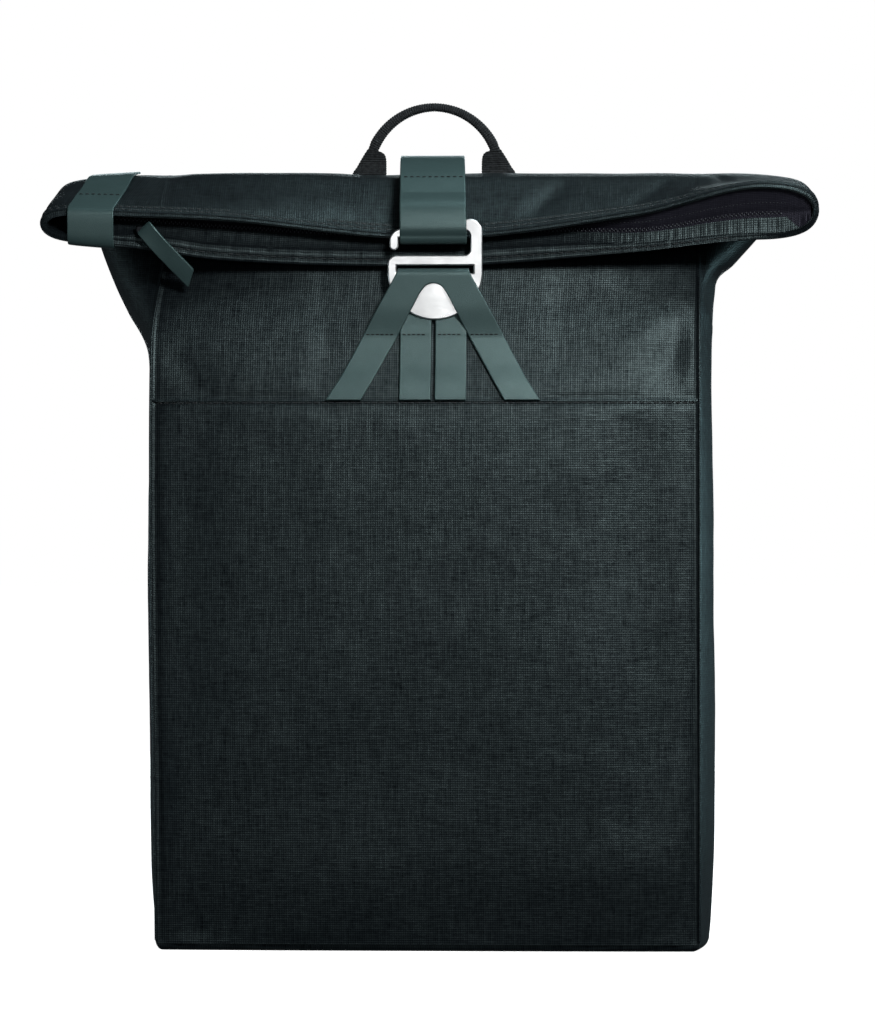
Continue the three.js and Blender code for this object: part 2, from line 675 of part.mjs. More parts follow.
function padRing(centres, i) {
  const last = centres.length - 1;
  const along = centres[Math.min(i + 1, last)].clone().sub(centres[Math.max(i - 1, 0)]).normalize();
  const across = point(1, 0, 0).addScaledVector(along, -along.x).normalize();
  const out = along.clone().cross(across);
  const width = PAD_WIDTH * lerp(1, PAD_TAPER, i / last);
  const round = (v) => (Math.sign(v) * Math.sqrt(Math.abs(v))) / 2;
  return span(0, 330, 11).map((angle) =>
    centres[i]
      .clone()
      .addScaledVector(across, round(Math.cos(rad(angle))) * width)
      .addScaledVector(out, round(Math.sin(rad(angle))) * PAD_THICK),
  );
}

function shoulderPad(side) {
  const curve = new THREE.CatmullRomCurve3(PAD_PATH.map((p) => point(side * p.x, p.y, p.z)));
  const centres = curve.getPoints(14);
  const root = upperBar + ADJUSTER_BAR + 6;
  const loop = [
    { y: webReach, z: root },
    ...halfTurn(0, upperBar + 0.2, webReach, 0, -180),
    { y: -webReach, z: root },
  ];
  const half = STRAP_WEB_WIDTH / 2;
  return joined(
    barrel(centres.map((_, i) => padRing(centres, i))),
    leaned(band(loop, -half, half, STRAP_WEB), side),
  );
}

function strapWebbing(side) {
  const path = [
    { y: -11.4, z: -128 },
    { y: -10.5, z: -108 },
    { y: -7, z: -62 },
    { y: -webReach, z: -16 },
    { y: -webReach, z: 0 },
    ...halfTurn(0, ADJUSTER_BAR / 2 + 0.2, webReach, 180, 0),
    { y: webReach, z: -16 },
    { y: webReach + 1, z: -32 },
    { y: webReach, z: -48 },
  ];
  return leaned(band(path, -STRAP_WEB_WIDTH / 2, STRAP_WEB_WIDTH / 2, STRAP_WEB), side);
}

function adjuster(side) {
  const x = ADJUSTER_WIDTH / 2;
  const z = upperBar + ADJUSTER_BAR;
  const half = x - ADJUSTER_BAR;
  const frame = new THREE.Shape();
  frame.moveTo(-x, -z).lineTo(x, -z).lineTo(x, z).lineTo(-x, z).closePath();
  for (const [low, high] of [[-upperBar, -ADJUSTER_BAR / 2], [ADJUSTER_BAR / 2, upperBar]]) {
    const slot = new THREE.Path();
    slot.moveTo(-half, low).lineTo(half, low).lineTo(half, high).lineTo(-half, high).closePath();
    frame.holes.push(slot);
  }
  const body = new THREE.ExtrudeGeometry(frame, { depth: ADJUSTER_THICK, bevelEnabled: false });
  return leaned(body.rotateX(Math.PI / 2).translate(0, ADJUSTER_THICK / 2, 0), side);
}

const paint = (color, roughness, metalness) =>
  new THREE.MeshStandardMaterial({ color, roughness, metalness });
const cloth = paint(0x23292b, 0.85, 0);
const leather = paint(0x34464a, 0.5, 0);
const webbing = paint(0x1d2022, 0.9, 0);
const steel = paint(0xd9dcdc, 0.35, 1);
const zip = paint(0x15171b, 0.7, 0);
const plastic = paint(0x17191a, 0.5, 0);

const bag = new THREE.Group();
bag.position.y = -ORIGIN_SHIFT;
const closure = new THREE.Group();
closure.position.x = CLOSURE_X;
bag.add(closure);

function add(group, name, geometry, material) {
  const mesh = new THREE.Mesh(geometry, material);
  mesh.name = name;
  group.add(mesh);
}

add(bag, "base_panel", basePanel(), cloth);
add(bag, "pocket_panel", pocketPanel(), cloth);
add(bag, "upper_front_panel", upperFront(), cloth);
add(bag, "gusset_left", gusset(-1), cloth);
add(bag, "gusset_right", gusset(1), cloth);
add(bag, "back_panel", backPanel(), cloth);
add(bag, "roll_top", rollOuter(), cloth);
add(closure, "closure_strap", closureStrap(), leather);
add(closure, "hook", hook(), steel);
add(closure, "forked_strap", forkedStrap(), leather);
add(bag, "carry_handle", handle().translate(HANDLE_X, 0, 0), webbing);
add(bag, "zip_tape", zipTape(), zip);
add(bag, "zip_teeth", zipTeeth(), zip);
add(bag, "zip_slider", zipSlider(), steel);
add(bag, "zip_puller", zipPuller(), leather);
add(bag, "end_tab", endTab(), leather);
for (const [side, word] of [[-1, "left"], [1, "right"]]) {
  add(bag, `shoulder_pad_${word}`, shoulderPad(side), cloth);
  add(bag, `strap_adjuster_${word}`, adjuster(side), plastic);
  add(bag, `strap_webbing_${word}`, strapWebbing(side), webbing);
}

export default bag;
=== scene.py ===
import math

import bpy
import numpy as np
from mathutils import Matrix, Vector
from mathutils.geometry import delaunay_2d_cdt


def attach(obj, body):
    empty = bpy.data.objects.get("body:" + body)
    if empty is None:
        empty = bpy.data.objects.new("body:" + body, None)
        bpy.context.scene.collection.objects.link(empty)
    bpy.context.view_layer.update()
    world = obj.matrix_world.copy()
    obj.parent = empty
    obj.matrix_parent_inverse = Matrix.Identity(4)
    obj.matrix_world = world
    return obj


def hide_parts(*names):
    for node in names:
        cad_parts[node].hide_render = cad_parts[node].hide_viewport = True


# Looks of the roll-top laptop backpack. Shapes are worked out in millimetres, on the CAD source's sizes with
# small departures, and moved into the row frame in metres when a mesh is made.
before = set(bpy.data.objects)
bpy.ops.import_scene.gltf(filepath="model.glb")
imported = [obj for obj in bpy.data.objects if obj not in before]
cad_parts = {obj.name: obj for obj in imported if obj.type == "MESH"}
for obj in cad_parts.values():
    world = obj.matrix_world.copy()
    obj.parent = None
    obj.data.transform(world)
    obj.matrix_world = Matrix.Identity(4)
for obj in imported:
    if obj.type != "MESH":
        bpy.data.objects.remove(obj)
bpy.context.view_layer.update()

CLOTH = 1.8
HEM = 2.8
LEATHER = 2.0
GAP = 0.35  # left between pieces that lie on each other
ORIGIN_SHIFT = 7.93  # design y minus row y
SEAM = 153.5  # from the middle to the long seams
BASE_RADIUS = 4.0
POCKET_PROUD = 1.0
POCKET_EDGE = 14.0  # in from the side seams, where the pocket has come fully proud
POCKET_STITCH = 2.0  # from the pocket's top edge to its stitches
POCKET_ROW = 72.0  # spine length of the pocket's last row
SEAM_RIDGE = 0.85  # radius of the ridges along the front seams
SEAM_RIDGE_ENDS = (6.0, 384.0)
GUSSET_CALM = 0.6  # share of the folds that the gussets show
BACK_PAD = 5.0
LIFT_REACH = 0.3  # how far forward the lip comes for each millimetre that it rises
FRONT_CROWN = 2.8  # 2 is a plain bow; more is flatter in the middle and rounder at the seams
FORWARD = np.array((0.0, -1.0, 0.0))
SIDES = ((-1, "left"), (1, "right"))

# Sections of the cloth tube, and the mouth across the bag
STATION_COLUMNS = ("y", "z", "turn", "depth", "left", "right", "blunt", "front", "back", "lip")
STATIONS = np.array([
    (0, 4, 0, 61, 160, 160, 1, 2.6, 0, 0),
    (-0.5, 60, 0, 63.5, 163.2, 162.8, 1, 6.8, 2, 0),
    (-0.5, 150, 0, 64, 164, 163.6, 1, 9, 3, 0),
    (0, 240, 0, 63, 163.8, 163.4, 1, 7.4, 3, 0),
    (1, 312, 0, 60, 163.4, 163, 1, 6.2, 2.5, 0),
    (2, 338, 0, 57.5, 165, 163, 1, 2.3, 2, 0),
    (5, 365, 0, 50.5, 178, 163, 1.2, 4.2, 1, 0),
    (7.8, 379, 0, 44.5, 185, 164.6, 1.4, 8.7, 0.4, 0),
    (11, 393, 0, 37.5, 191, 175, 1.6, 13, 0, 0),
    (16, 418, 0, 20, 200, 196, 2.2, 4, 0, 0),
    (17.5, 428.5, 0, 10.5, 203, 202, 3, 0, 0, 0),
    (16, 434.5, 25, 7.5, 204, 204, 3, 0, 0, 0),
    (8, 439.5, 90, 6, 207, 207, 3, 0, 0, 0),
    (-6, 437, 120, 6.5, 213.5, 214.5, 5, 0, 0, 0.03),
    (-23, 424, 126, 7.5, 218, 219.5, 7, 0, 0, 0.3),
    (-37, 409.5, 112, 8.5, 221, 221, 8, 0, 0, 0.72),
    (-48, 398.5, 96, 8.9, 222, 221, 9, 0, 0, 1),
])
BASE, POCKET, YOKE = 0, 4, 8
MOUTH = len(STATIONS) - 1
MOUTH_COLUMNS = ("x", "lift", "open")
MOUTH_EDGE = np.array([
    (-222, 15.5, 9.3),
    (-178, 12.6, 9.8),
    (-118, 7.2, 12.4),
    (0, 0, 8.9),
    (118, 10.4, 11.4),
    (190, 21.4, 15.8),
    (222, 21.6, 13.6),
])

# How much further out the left front seam runs than the right one: z, distance
LEFT_SEAM = np.array([(4, 1.2), (60, 1.6), (312, 4.6), (345, 4.6), (392, 0)])

# Soft folds and dents of the cloth: a line from a to b, its half width, and its height, negative for a valley
FOLDS = np.array([  # ax, ay, az, bx, by, bz, width, height
    (148, -54, 358, 136, -59, 328, 16, -3.6),
    (152, -51, 372, 112, -57, 334, 12, 1.3),
    (-150, -56, 344, -122, -60, 304, 12, -1.2),
    (119, -68, 290, 126, -68, 80, 20, -2.7),
    (-136, -62, 286, -139, -63, 130, 14, -1.1),
    (58, -42, 420, 76, -20, 439, 7, -1.1),
    (-42, -40, 420, -68, -16, 440, 9, -0.5),
    (116, -46, 424, 141, -16, 446, 6, -1.1),
    (-118, -44, 418, -150, -12, 444, 8, -0.6),
    (166, -26, 384, 166, 34, 388, 7, -3.4),
    (163, 0, 348, 163, -4, 190, 15, -2.6),
    (-163, 0, 338, -163, -4, 190, 15, -2.6),
    (-164, -6, 444, -60, -4, 447, 16, 2.2),
    (161, -6, 447, 171, -27, 437, 3.5, -2),
    (155, -46, 377, 165, -14, 374, 6, -3),
    (154, -48, 366, 164, -14, 354, 5, 1.6),
])

# Uneven waves: height, length, seed
CLOTH_WAVES = ((1.1, 120, 3), (0.22, 50, 5), (0.07, 19, 8))
HEM_WAVES = ((0.5, 4.4, 23), (0.5, 9, 21), (0.4, 22, 22))
FACING_WAVES = ((1.0, 2.4, 31), (0.8, 5.5, 32))
FACING_PUCKER = 0.19

# Hem of the mouth
HEM_ROW_LENGTH = 15.6  # spine length of the last row
HEM_LOWER = 7.2  # height of the turned-over hem seen on the lower lip
HEM_RIGHT = 4.0  # and towards the right end, where the mouth opens
HEM_UPPER = 1.9
HEM_AROUND = [  # turn round the mouth, height
    (1, HEM_RIGHT), (1.5, 2.4), (2, HEM_UPPER), (3, HEM_UPPER), (3.4, 4.2), (3.65, 4.4), (4, HEM_LOWER),
]
RIM_AHEAD = (0.7, 1.5)  # how far ahead the upper lip's rim stands outside, and how much more inside
HEM_SLOPE = 2.2  # how much less the lower lip's hem stands ahead at its inner edge
HEM_PROFILE = [  # share of the hem's height inwards, millimetres inwards, millimetres ahead
    (0, 0.1, -9.6), (0, -0.62, -8.7), (0, -0.6, -7.8), (0, 0.05, -7.0), (0, -0.4, -6.2), (0, -0.55, -4.9),
    (0, -0.4, -3.8), (0, 0.05, -3.1), (0, -0.5, -2.3), (0, -0.6, -1.0), (0, -0.2, 0.8), (0.09, 0.1, 1.5),
    (0.17, 0, 1.7), (0.3, 0, 1.55), (0.42, 0, 1.3), (0.5, 0, 0.9), (0.58, 0, 1.3), (0.7, 0, 1.6),
    (0.87, 0, 1.45), (1.0, 0, 0.4), (1.0, 0, -1.4), (0.8, 0, -2.6), (0.35, 0.9, -3.6), (0, 1.6, -6.0),
    (0, 1.2, -9.2),
]

# Zip and end tab. The profile gives the share of the way from the lower hem to the upper one, and how far
# behind the lip the tape is there.
TAPE_PROFILE = np.array([(0, 0.1), (0.12, 1.1), (0.34, 2.4), (0.42, 2.9), (0.55, 3.0), (1, 4.0)])
TAPE_THICK = 1.0
TAPE_STITCH = 0.64  # share at which the tape is sewn
TEETH_SHARE = 0.42
TEETH_DEEP = 2.2  # behind the lip
TEETH_PITCH = 1.15
TEETH_END = 3.0  # from the tape's end
FACING = 0.34  # below this share the tape is covered by the cloth's own facing
FACING_END = 211.0  # at the right, where the facing ends with a slant
FACING_SLANT = 8.0
ZIP_HALF = 203.0
ZIP_X = np.linspace(-ZIP_HALF, ZIP_HALF + 14, 780)[None]
SLIDER_X = -163.0
SLIDER_BODY = [(-4.6, -2.2), (4.6, -3), (4.6, 3), (-4.6, 2.2)]
SLIDER_THICK = 2.6
PULLER_WIDTH = 10.0
PULLER_STEPS = np.array([(0, -2.6, 1.7), (2.2, -5.2, -0.5), (10.4, -4.0, -9.9), (28.3, 3.5, -28.6)])
PULLER_ACROSS = (0.727, -0.22, 0.686)
END_TAB = (-206.4, -180.0)
TAB_THICK = 1.4
TAB_START = 3.7  # rows behind the upper lip where the tab starts
TAB_STITCH = 1.3  # and where it is sewn on
TAB_LEAN = 9.5  # how far right of its front its start is

# Closure
CLOSURE_X = 2.7
STRAP_WIDTH = 38.0
HOOK_X = 1.0
HOOK_Y = -55.2
HOOK_THICK = 2.8
HOOK_RADIUS = 27.0
HOOK_BOTTOM = 358.6
HOOK_BAR = 5.7
HOOK_SIDE = 7.0
SLOT_HEIGHT = 4.5
CROSSBAR_TOP = 395.2
ARM_TOP = 413.3
ARM_SLOPE = 0.1
GATE = 2.9
HOOK_CORNER, HOOK_SOFT, HOOK_EDGE, HOOK_TIP = 7.5, 3.5, 5.0, 2.6  # radii: outer, inner, bar's end, tip
SLOT_END = 5.1  # metal left at the slot's ends
PLATE_MIDDLE, PLATE_RADIUS, PLATE_CROWN = 370.0, 15.0, 0.35  # slight dome of the hook's lower plate
FORK_SEWN = 348.4
FORK_STITCH = 350.2
FORK_LOW = 368.0  # below this the legs leave the hook's plate and slope down to the cloth
FORK_END = 312.6
FORK_TOP = 384.2
FORK_EDGES = np.array([  # z, outer, inner
    (384.2, 21.4, 0),
    (373, 27.6, 8),
    (361, 34.1, 14.2),
    (348.4, 40.6, 20.6),
    (338, 46, 26.4),
    (325, 53, 33.6),
    (312.6, 61, 40.6),
])
FORK_NOTCH = [(6.3, 375.6), (4.4, 377.8), (2.2, 378.9), (0, 379.2)]  # round top of the opening
FORK_LEG_TOP = 373.0
FORK_SEAMS = (19.7, 39.7)  # ends of the stitches across a leg
TAIL_INNER = 1.1
TAIL_OUTER = 19.0
STRAP_PATH = [  # y, z over the roll
    (50, 394.5), (38.6, 418), (31, 437), (19, 450), (5, 455), (-13, 452.5), (-31, 443), (-45, 431),
]
STRAP_LEAN = 3.2  # how far left the strap leans towards its sewn end
STRAP_TAPER = 0.03  # and how much narrower it gets
STRAP_STITCHES = (4.0, 122.4)  # from the strap's sewn end: at the yoke, and where its loop is sewn shut
FOLD_RADIUS = HOOK_THICK / 2 + GAP + LEATHER / 2  # of leather folded round the hook
FOLD_END = FORK_TOP + math.pi * FOLD_RADIUS  # place along the fork where its tails start behind the hook
CLOSURE = np.array((CLOSURE_X, 0, 0))

# Handle
HANDLE_X = -1.0
HANDLE_Y = 37.0
HANDLE_CENTRE_Z = 447.4
HANDLE_GRIP = 11.0
HANDLE_ROOT = ((50.2, 395), (39, 418))  # y, z where the webbing is sewn to the yoke
HANDLE_EDGES = np.array([  # inner x and z, outer x and z, from the sewn end up to the arch
    (28, 434, 48.2, 434),
    (28, 447, 48.2, 447),
    (28, 452, 45.4, 452.2),
    (28.1, 456, 43, 456.4),
    (28.8, 459, 41.2, 459.3),
    (30.4, 460.6, 39.8, 461.4),
    (32.7, 461.6, 38.3, 463.5),
])
HANDLE_ARCH = np.array([  # degrees, inner radius, outer radius
    (28, 35.9, 41.9),
    (45, 36.4, 41.9),
    (70, 37.1, 41.95),
    (90, 37.5, 41.95),
])
RIB_PITCH = 1.5  # of the webbing

# Shoulder straps
PAD_WIDTH = 56.0
PAD_THICK = 8.0
PAD_TAPER = 0.8
PAD_PATH = [
    (39, 56, 385), (40, 61.8, 366), (44.5, 74, 334), (54, 85, 284), (65, 85.5, 232), (73.5, 80, 194),
    (78.3, 76, 173),
]
STRAP_WEB = 1.8
STRAP_WEB_WIDTH = 25.0
ADJUSTER = (82.7, 76.0, 155.5)
ADJUSTER_TILT = 14.0
ADJUSTER_BAR = 4.0
ADJUSTER_SLOT = 8.5
ADJUSTER_THICK = 3.0
PAD_RING = 2.6  # between rings
PAD_SWELL = 0.0016  # metres that the simulation may move a point
PAD_PRESSURE = 4.0
PAD_FRAMES = 20
PAD_BORDER = 1.3  # half the thickness of a pad's sewn border
PAD_STITCH = 4.5  # from a pad's edge to its stitches
WEB_REACH = ADJUSTER_THICK / 2 + GAP + STRAP_WEB / 2
UPPER_BAR = ADJUSTER_BAR / 2 + ADJUSTER_SLOT

# Stitches: share of the length and of the radius, ring by ring
STITCH_RINGS = np.array([(0, 0.3), (0.1, 0.8), (0.3, 1), (0.7, 1), (0.9, 0.8), (1, 0.3)])
STITCH_SIDES = 6
LEATHER_STITCH = (2.6, 0.9, 0.3)  # length, gap, radius
FORK_THREAD = (2.2, 0.5, 0.32)
TAPE_THREAD = (1.2, 0.9, 0.2)
TOOTH = (1.2, 0.1, 0.32)

# Lamps and camera, in metres. A lamp has a name, place, target, size, watts, tint and spread in degrees.
LAMPS = (
    ("key", (0.62, -1.36, 1.1), (0.06, -0.06, 0.3), (0.35, 0.35), 17, (1, 1, 1), 180),
    ("front", (-0.135, -3.2, 0.54), (0, 0, 0.386), (0.5, 0.5), 5, (1, 1, 1), 180),
    ("top", (0.55, -0.12, 1.75), (0.1, -0.03, 0.42), (0.5, 0.5), 10.5, (0.8, 0.97, 1), 180),
    ("side", (1.7, 0.5, 0.35), (0.16, 0, 0.21), (0.2, 0.2), 0.13, (0.6, 0.92, 1), 19),
    ("behind", (-0.1, 2.1, 0.66), (0, 0, 0.25), (1.1, 1.0), 14, (0.8, 0.96, 1), 180),
    ("left", (-1.7, -0.1, 0.3), (-0.16, 0, 0.17), (0.2, 0.2), 0.09, (0.8, 0.95, 1), 19),
)
SKY_TINT, SKY_STRENGTH = (0.8, 0.92, 1, 1), 0.055
CAMERA_DISTANCE = 2.8  # from the bag's middle plane
CAMERA_HEIGHT = 0.2493
CAMERA_AZIMUTH = 2.5  # degrees to the right of the front
VIEW_HEIGHT = 0.594  # of the middle plane that fills the picture
CAMERA_ASIDE = 0.0029  # the bag stands a little left of the picture's middle


def smoothstep(value, low, high):
    t = np.clip((value - low) / (high - low), 0, 1)
    return t * t * (3 - 2 * t)


def mix(a, b, share):
    return a + (b - a) * share


def monotone(xs, ys, at):
    """Smooth curve through a table that never swells past its rows."""
    at = np.clip(at, xs[0], xs[-1])
    width = np.diff(xs)
    rise = np.diff(ys) / width
    slope = np.empty(len(ys))
    slope[0], slope[-1] = rise[0], rise[-1]
    same = rise[:-1] * rise[1:] > 0
    before = np.where(same, rise[:-1], 1)
    after = np.where(same, rise[1:], 1)
    a = 2 * width[1:] + width[:-1]
    b = width[1:] + 2 * width[:-1]
    slope[1:-1] = np.where(same, (a + b) / (a / before + b / after), 0)
    i = np.clip(np.searchsorted(xs, at) - 1, 0, len(xs) - 2)
    u = (at - xs[i]) / width[i]
    rest = 1 - u
    return (
        ys[i] * (1 + 2 * u) * rest**2
        + slope[i] * width[i] * u * rest**2
        + ys[i + 1] * u**2 * (3 - 2 * u)
        - slope[i + 1] * width[i] * u**2 * rest
    )


def joined(*parts):
    """Coordinates that broadcast against one another, as points."""
    return np.stack(np.broadcast_arrays(*parts), -1)


def unit(vectors):
    return vectors / np.maximum(np.linalg.norm(vectors, axis=-1, keepdims=True), 1e-9)


def hump(away, height, width, at=0.0):
    return height * np.exp(-(((away - at) / width) ** 2))


def station(s):
    keys = np.arange(len(STATIONS), dtype=float)
    return {name: monotone(keys, column, s) for name, column in zip(STATION_COLUMNS, STATIONS.T)}


def mouth(x, name):
    return monotone(MOUTH_EDGE[:, 0], MOUTH_EDGE[:, MOUTH_COLUMNS.index(name)], x)


def heading(row):
    turn = np.radians(row["turn"])
    return joined(0 * turn, -np.sin(turn), np.cos(turn))


def place(row, x, q):
    """Point of the cloth tube q from its middle surface at x, q positive towards the back panel."""
    lift = row["lip"] * mouth(x, "lift")
    turn = np.radians(row["turn"])
    y = row["y"] - LIFT_REACH * lift + q * np.cos(turn)
    return joined(x, y, row["z"] + lift + q * np.sin(turn))


def half_depth(row, x):
    return mix(row["depth"], mouth(x, "open"), row["lip"])


def wall_at(s):
    return mix(CLOTH, HEM, smoothstep(s, MOUTH - 0.6, MOUTH - 0.2))


def left_seam(row):
    return monotone(LEFT_SEAM[:, 0], LEFT_SEAM[:, 1], row["z"])


def front_point(s, across, wall=0.0, proud=0.0):
    row = station(s)
    x = across * (SEAM - wall) - left_seam(row) * np.maximum(-across, 0) ** 2
    crown = row["front"] * (1 - np.abs(across) ** FRONT_CROWN)
    return place(row, x, wall - half_depth(row, x) - crown - proud)


def back_point(s, across, wall=0.0, padding=0.0):
    row = station(s)
    x = across * (SEAM - wall)
    return place(row, x, half_depth(row, x) - wall + (row["back"] - padding) * (1 - across**2))


def gusset_point(s, side, around, wall=0.0):
    row = station(s)
    tip = row["left"] if side < 0 else row["right"]
    out = np.maximum(0, np.cos(around * math.pi / 2))
    seam = SEAM + (left_seam(row) * smoothstep(-around, -1, 1) if side < 0 else 0)
    x = side * (seam - wall + (tip - seam) * out)
    return place(row, x, (half_depth(row, x) - wall) * np.sign(around) * np.sqrt(1 - out ** row["blunt"]))


def clear_half(row, x, wall):
    tip = np.where(x < 0, row["left"], row["right"])
    out = np.clip((np.abs(x) - SEAM + wall) / (tip - SEAM), 0, 1)
    return (half_depth(row, x) - wall) * np.sqrt(1 - out ** row["blunt"])


def tube_outline(s, turn):
    """Outer edge of the tube at s. turn runs 0 to 4: front, right gusset, back, left gusset."""
    part = np.minimum(turn.astype(int), 3)
    share = 2 * (turn - part) - 1
    panels = (
        front_point(s, share),
        gusset_point(s, 1, share),
        back_point(s, -share),
        gusset_point(s, -1, -share),
    )
    return sum(np.where((part == k)[..., None], points, 0) for k, points in enumerate(panels))


def turns_around(wide, deep):
    """Places round the tube, from shares of a wide panel and of a gusset."""
    return np.concatenate([k + shares[:-1] for k, shares in enumerate((wide, deep, wide, deep))])


def ripple(points, wavelength, seed):
    """Smooth uneven waves of about the given length, from -1 to 1."""
    rng = np.random.default_rng(seed)
    total = 0
    for _ in range(9):
        direction = rng.normal(size=3)
        direction *= 2 * math.pi / (np.linalg.norm(direction) * wavelength * rng.uniform(0.7, 1.4))
        total = total + np.sin(points @ direction + rng.uniform(0, 2 * math.pi))
    return total / 4


def waves(points, table):
    return sum(height * ripple(points, length, seed) for height, length, seed in table)


def crumple(points):
    """Height of the cloth's folds and unevenness at each point, outwards."""
    height = waves(points, CLOTH_WAVES)
    for fold in FOLDS:
        a, b, (width, rise) = np.split(fold, (3, 6))
        t = np.clip((points - a) @ (b - a) / ((b - a) @ (b - a)), 0, 1)
        away = np.linalg.norm(points - a - t[..., None] * (b - a), axis=-1)
        height = height + hump(away, rise, width) * np.sqrt(np.sin(math.pi * (0.12 + 0.76 * t)))
    return height


def lengths(points, axis):
    """Running length along one axis of a grid of points."""
    steps = np.linalg.norm(np.diff(points, axis=axis), axis=-1)
    start = np.zeros_like(np.take(steps, [0], axis))
    return np.concatenate([start, np.cumsum(steps, axis)], axis)


def running(path):
    """Running length along a path."""
    return lengths(path[None], 1)[0]


def read_at(table, run, at):
    """Rows of a table read at places along its running length."""
    return np.stack([np.interp(at, run, column) for column in table.T], -1)


def normals(points):
    return unit(np.cross(np.gradient(points, axis=0), np.gradient(points, axis=1)))


def dense_ends(count, fine, reach):
    """Values from 0 to 1: `fine` extra small steps within `reach` of each end."""
    ends = reach * np.linspace(0, 1, fine + 1) ** 1.5
    return np.concatenate([ends, np.linspace(reach, 1 - reach, count)[1:-1], 1 - ends[::-1]])


def spline(points, cells):
    """Curve through points, `cells` steps in all."""
    p = np.array(points, float)
    last = len(p) - 1
    t = np.linspace(0, last, cells + 1)
    i = np.minimum(t.astype(int), last - 1)
    w = (t - i)[:, None]
    p0, p1, p2, p3 = p[np.maximum(i - 1, 0)], p[i], p[i + 1], p[np.minimum(i + 2, last)]
    v0, v1 = (p2 - p0) / 2, (p3 - p1) / 2
    return (2 * p1 - 2 * p2 + v0 + v1) * w**3 + (-3 * p1 + 3 * p2 - 2 * v0 - v1) * w**2 + v0 * w + p1


def evenly(path, spacing):
    """The same path with points an even distance apart."""
    run = running(path)
    return read_at(path, run, np.linspace(0, run[-1], max(2, int(round(run[-1] / spacing)) + 1)))


def tangents(path):
    return unit(np.gradient(path, axis=0))


# Mesh helpers
def add_mesh(name, points, faces, uv, material, sharp=50):
    """Mesh piece from design millimetres, riding on the one body. uv is in millimetres too."""
    co = (np.asarray(points, float) - np.array((0, ORIGIN_SHIFT, 0))) / 1000
    data = bpy.data.meshes.new(name)
    data.from_pydata(co.tolist(), [], faces)
    layer = data.uv_layers.new(name="span")
    loops = np.empty(len(data.loops), np.int32)
    data.loops.foreach_get("vertex_index", loops)
    layer.data.foreach_set("uv", (np.asarray(uv, float) / 1000)[loops].astype(np.float32).ravel())
    data.shade_smooth()
    data.set_sharp_from_angle(angle=math.radians(sharp))
    data.materials.append(material)
    piece = bpy.data.objects.new(name, data)
    bpy.context.scene.collection.objects.link(piece)
    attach(piece, "root")
    return piece


def stand_for(piece, node):
    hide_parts(node)
    return piece


def quads(rows, cols, wrap=False, wrap_rows=False):
    index = np.arange(rows * cols).reshape(rows, cols)
    if wrap:
        index = np.concatenate([index, index[:, :1]], 1)
    if wrap_rows:
        index = np.concatenate([index, index[:1]], 0)
    return np.stack([index[:-1, :-1], index[:-1, 1:], index[1:, 1:], index[1:, :-1]], -1).reshape(-1, 4)


def outward(points, faces):
    """Faces of a closed mesh, turned so that they look outwards."""
    points = np.asarray(points)
    fans = np.array([(f[0], f[1], f[2]) for f in faces] + [(f[0], f[2], f[3]) for f in faces if len(f) == 4])
    a, b, c = points[fans[:, 0]], points[fans[:, 1]], points[fans[:, 2]]
    return faces if (a * np.cross(b, c)).sum() > 0 else [face[::-1] for face in faces]


def slab(name, outer, inner, uv, material):
    """Closed sheet between two matching grids."""
    rows, cols = outer.shape[:2]
    count = rows * cols
    index = np.arange(count).reshape(rows, cols)
    border = np.concatenate([index[0, :-1], index[:-1, -1], index[-1, :0:-1], index[:0:-1, 0]])
    after = np.roll(border, -1)
    rim = np.stack([border, border + count, after + count, after], -1)
    faces = np.concatenate([quads(rows, cols), quads(rows, cols)[:, ::-1] + count, rim]).tolist()
    points = np.concatenate([outer.reshape(-1, 3), inner.reshape(-1, 3)])
    return add_mesh(name, points, outward(points, faces), np.tile(uv.reshape(-1, 2), (2, 1)), material)


def tube(name, rings, uv, material, ring=False):
    """Closed loft through matching rings: capped at both ends, or joined end to end as a ring."""
    rows, cols = rings.shape[:2]
    points, flat = rings.reshape(-1, 3), uv.reshape(-1, 2)
    faces = quads(rows, cols, wrap=True, wrap_rows=ring).tolist()
    if not ring:
        around = np.arange(cols).tolist()
        top = [(rows - 1) * cols + k for k in around]
        faces += [[rows * cols, b, a] for a, b in zip(around, around[1:] + around[:1])]
        faces += [[rows * cols + 1, a, b] for a, b in zip(top, top[1:] + top[:1])]
        points = np.concatenate([points, [rings[0].mean(0), rings[-1].mean(0)]])
        flat = np.concatenate([flat, flat[:1], flat[-1:]])
    return add_mesh(name, points, outward(points, faces), flat, material)


def inset(loop, distance):
    """A closed outline moved inwards; loops run anticlockwise, holes clockwise."""
    step = np.roll(loop, -1, 0) - loop
    step /= np.linalg.norm(step, axis=1, keepdims=True)
    inwards = np.stack([-step[:, 1], step[:, 0]], 1)
    both = inwards + np.roll(inwards, 1, 0)
    both /= np.maximum((both * both).sum(1, keepdims=True) / 2, 0.5)
    return loop + both * distance


def inside(points, loop):
    """Even-odd test of points against a closed outline."""
    x, y = points[:, 0, None], points[:, 1, None]
    ax, ay = loop[:, 0], loop[:, 1]
    bx, by = np.roll(ax, -1), np.roll(ay, -1)
    crosses = (ay > y) != (by > y)
    at = ax + (y - ay) * (bx - ax) / np.where(by == ay, 1e-9, by - ay)
    return (crosses & (x < at)).sum(1) % 2 == 1


def resampled(loop, spacing):
    """Closed outline with its own corners kept and long edges split."""
    loop = np.array(loop, float)
    made = []
    for a, b in zip(loop, np.roll(loop, -1, 0)):
        cells = max(1, int(round(np.linalg.norm(b - a) / spacing)))
        made.extend(a + (b - a) * k / cells for k in range(cells))
    return np.array(made)


def within(points, loops):
    """Which points lie inside an outline and outside its holes."""
    shown = inside(points, loops[0])
    for hole in loops[1:]:
        shown &= ~inside(points, hole)
    return shown


